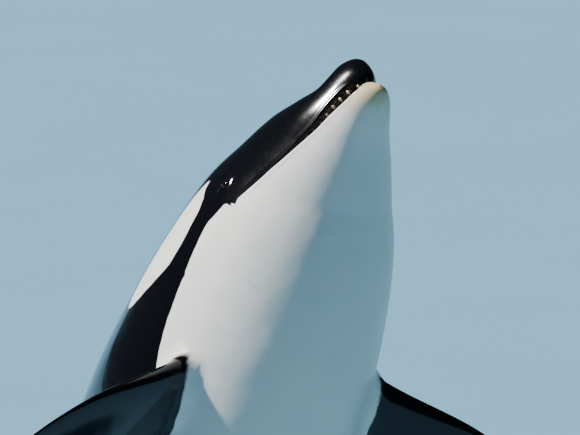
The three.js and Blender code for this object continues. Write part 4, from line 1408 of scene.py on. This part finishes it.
# %% Eyes
EYE_DARK = (0.008, 0.007, 0.007)
IRIS_BROWN = (0.012, 0.006, 0.0035)
PUPIL = (0.002, 0.002, 0.003)
IRIS_EDGE = (0.80, 0.84)
PUPIL_EDGE = (0.945, 0.955)
EYE_CLEARANCE = 0.0003
eye_finish = Finish("eye", Roughness=0.12, IOR=1.3, Specular_IOR_Level=0.35)
facing = eye_finish.attribute("facing")
iris = eye_finish.blend(facing.between(*IRIS_EDGE), EYE_DARK, IRIS_BROWN)
eye_finish.feed(Base_Color=eye_finish.blend(facing.between(*PUPIL_EDGE), iris, PUPIL))
for side, node in ((1, "eye_left"), (-1, "eye_right")):
    point, _, _, out = skin_frame(side)
    centre = point - EYE_SUNK * out
    radius = EYE_RADIUS - EYE_CLEARANCE
    bpy.ops.mesh.primitive_uv_sphere_add(segments=48, ring_count=32, radius=radius)
    eye = bpy.context.object
    eye.name = f"{node}_ball"
    ball = points_of(eye)
    store(eye, "facing", ball @ out / EYE_RADIUS)
    set_points(eye, ball + centre)
    bpy.ops.object.shade_smooth()
    eye.data.materials.append(eye_finish.material)
    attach(eye, "root")
    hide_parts(node)
    print(eye.name, "at", centre.round(3))

# %% [markdown]
# The stand is steel under a satin grey paint. The solids are already its true shape, so they
# stay as they are and only get their finish.

# %% The stand
PAINT_GREY = (0.27, 0.28, 0.29)
PAINT_PALE = (0.32, 0.33, 0.34)
paint = Finish("satin_grey_paint", Metallic=0.0, Coat_Weight=0.15, Coat_Roughness=0.25)
patches = paint.noise(2.5, detail=5).between(0.3, 0.7)
grain = paint.noise(420.0, detail=2)
paint.feed(
    Base_Color=paint.blend(patches, PAINT_GREY, PAINT_PALE),
    Roughness=0.38 + grain * 0.12,
)
paint.bump(grain, strength=0.15, distance=0.0006)
stand = [node for name, node in frame["nodes"].items() if name.startswith("stand_")]
for node in stand:
    node.data.materials.clear()
    node.data.materials.append(paint.material)
print("painted:", [node.name for node in stand])

# %% [markdown]
# The photograph looks at the throat and the right side of the head, from a little above and from
# far away. The camera keeps that direction and framing. The floor is plain and pale, and runs
# out past the frame.

# %% Camera
PICTURE = (580, 435)
HEAD_TOP_PIXEL = (356.4, 58.7)
AZIMUTH = math.radians(58.9)
ELEVATION = math.radians(12)
DISTANCE = 16.0
PIXELS_PER_METRE = 281.25
SENSOR = 36.0
FAR_CLIP = 500

camera_back = np.array([
    math.sin(AZIMUTH) * math.cos(ELEVATION),
    -math.cos(AZIMUTH) * math.cos(ELEVATION),
    math.sin(ELEVATION),
])
camera_right = np.array([math.cos(AZIMUTH), math.sin(AZIMUTH), 0.0])
camera_up = np.cross(camera_back, camera_right)
head_points = points_of(frame["nodes"]["head"])
head_top = head_points[np.argmax(head_points @ camera_up)]
target = (
    head_top
    - camera_right * (HEAD_TOP_PIXEL[0] - PICTURE[0] / 2) / PIXELS_PER_METRE
    - camera_up * (PICTURE[1] / 2 - HEAD_TOP_PIXEL[1]) / PIXELS_PER_METRE
)
bpy.ops.object.camera_add(location=target + camera_back * DISTANCE)
camera = bpy.context.object
camera.rotation_mode = "QUATERNION"
camera.rotation_quaternion = Vector(-camera_back).to_track_quat("-Z", "Y")
camera.data.sensor_width = SENSOR
camera.data.lens = PIXELS_PER_METRE * DISTANCE / PICTURE[0] * SENSOR
camera.data.clip_end = FAR_CLIP
bpy.context.scene.camera = camera
print("lens", round(camera.data.lens, 1), "mm, camera height", round(camera.location.z, 2), "m")

# %% Floor
FLOOR_HALF = 200.0
FLOOR_GAP = 0.0005
FLOOR_BLUE = (0.13, 0.33, 0.50)
FLOOR_PALER = (0.15, 0.35, 0.52)
bpy.ops.mesh.primitive_plane_add(size=2 * FLOOR_HALF, location=(0, 0, -FLOOR_GAP))
floor = bpy.context.object
floor.name = "floor"
floor_finish = Finish("pale_floor", Roughness=0.8)
cloudy = floor_finish.noise(0.6, detail=3)
floor_finish.feed(Base_Color=floor_finish.blend(cloudy, FLOOR_BLUE, FLOOR_PALER))
floor.data.materials.append(floor_finish.material)
print("floor:", 2 * FLOOR_HALF, "m wide")

# %% [markdown]
# In the photograph the light falls on the right side of the head, from above and a little from
# behind the animal. The key light does the same, and is soft enough for a studio. A weak blue
# sky keeps the shaded side from going black.

# %% Light
KEY_FROM = (-0.30, -0.58, 0.757)
KEY_POWER = 8.6
KEY_SOFTNESS = math.radians(4)
KEY_COLOUR = (1.0, 0.965, 0.91)
KEY_HEIGHT = 10
SKY_COLOUR = (0.62, 0.78, 0.95)
SKY_STRENGTH = 0.05
bpy.ops.object.light_add(type="SUN", location=(0, 0, KEY_HEIGHT))
key = bpy.context.object
key.name = "key"
key.data.energy = KEY_POWER
key.data.angle = KEY_SOFTNESS
key.data.color = KEY_COLOUR
key.rotation_mode = "QUATERNION"
key.rotation_quaternion = Vector(-unit(np.array(KEY_FROM))).to_track_quat("-Z", "Y")
world = bpy.data.worlds.new("studio")
bpy.context.scene.world = world
world.use_nodes = True
sky = world.node_tree.nodes["Background"]
sky.inputs["Color"].default_value = (*SKY_COLOUR, 1)
sky.inputs["Strength"].default_value = SKY_STRENGTH
print("key light from", KEY_FROM, "sky", SKY_STRENGTH)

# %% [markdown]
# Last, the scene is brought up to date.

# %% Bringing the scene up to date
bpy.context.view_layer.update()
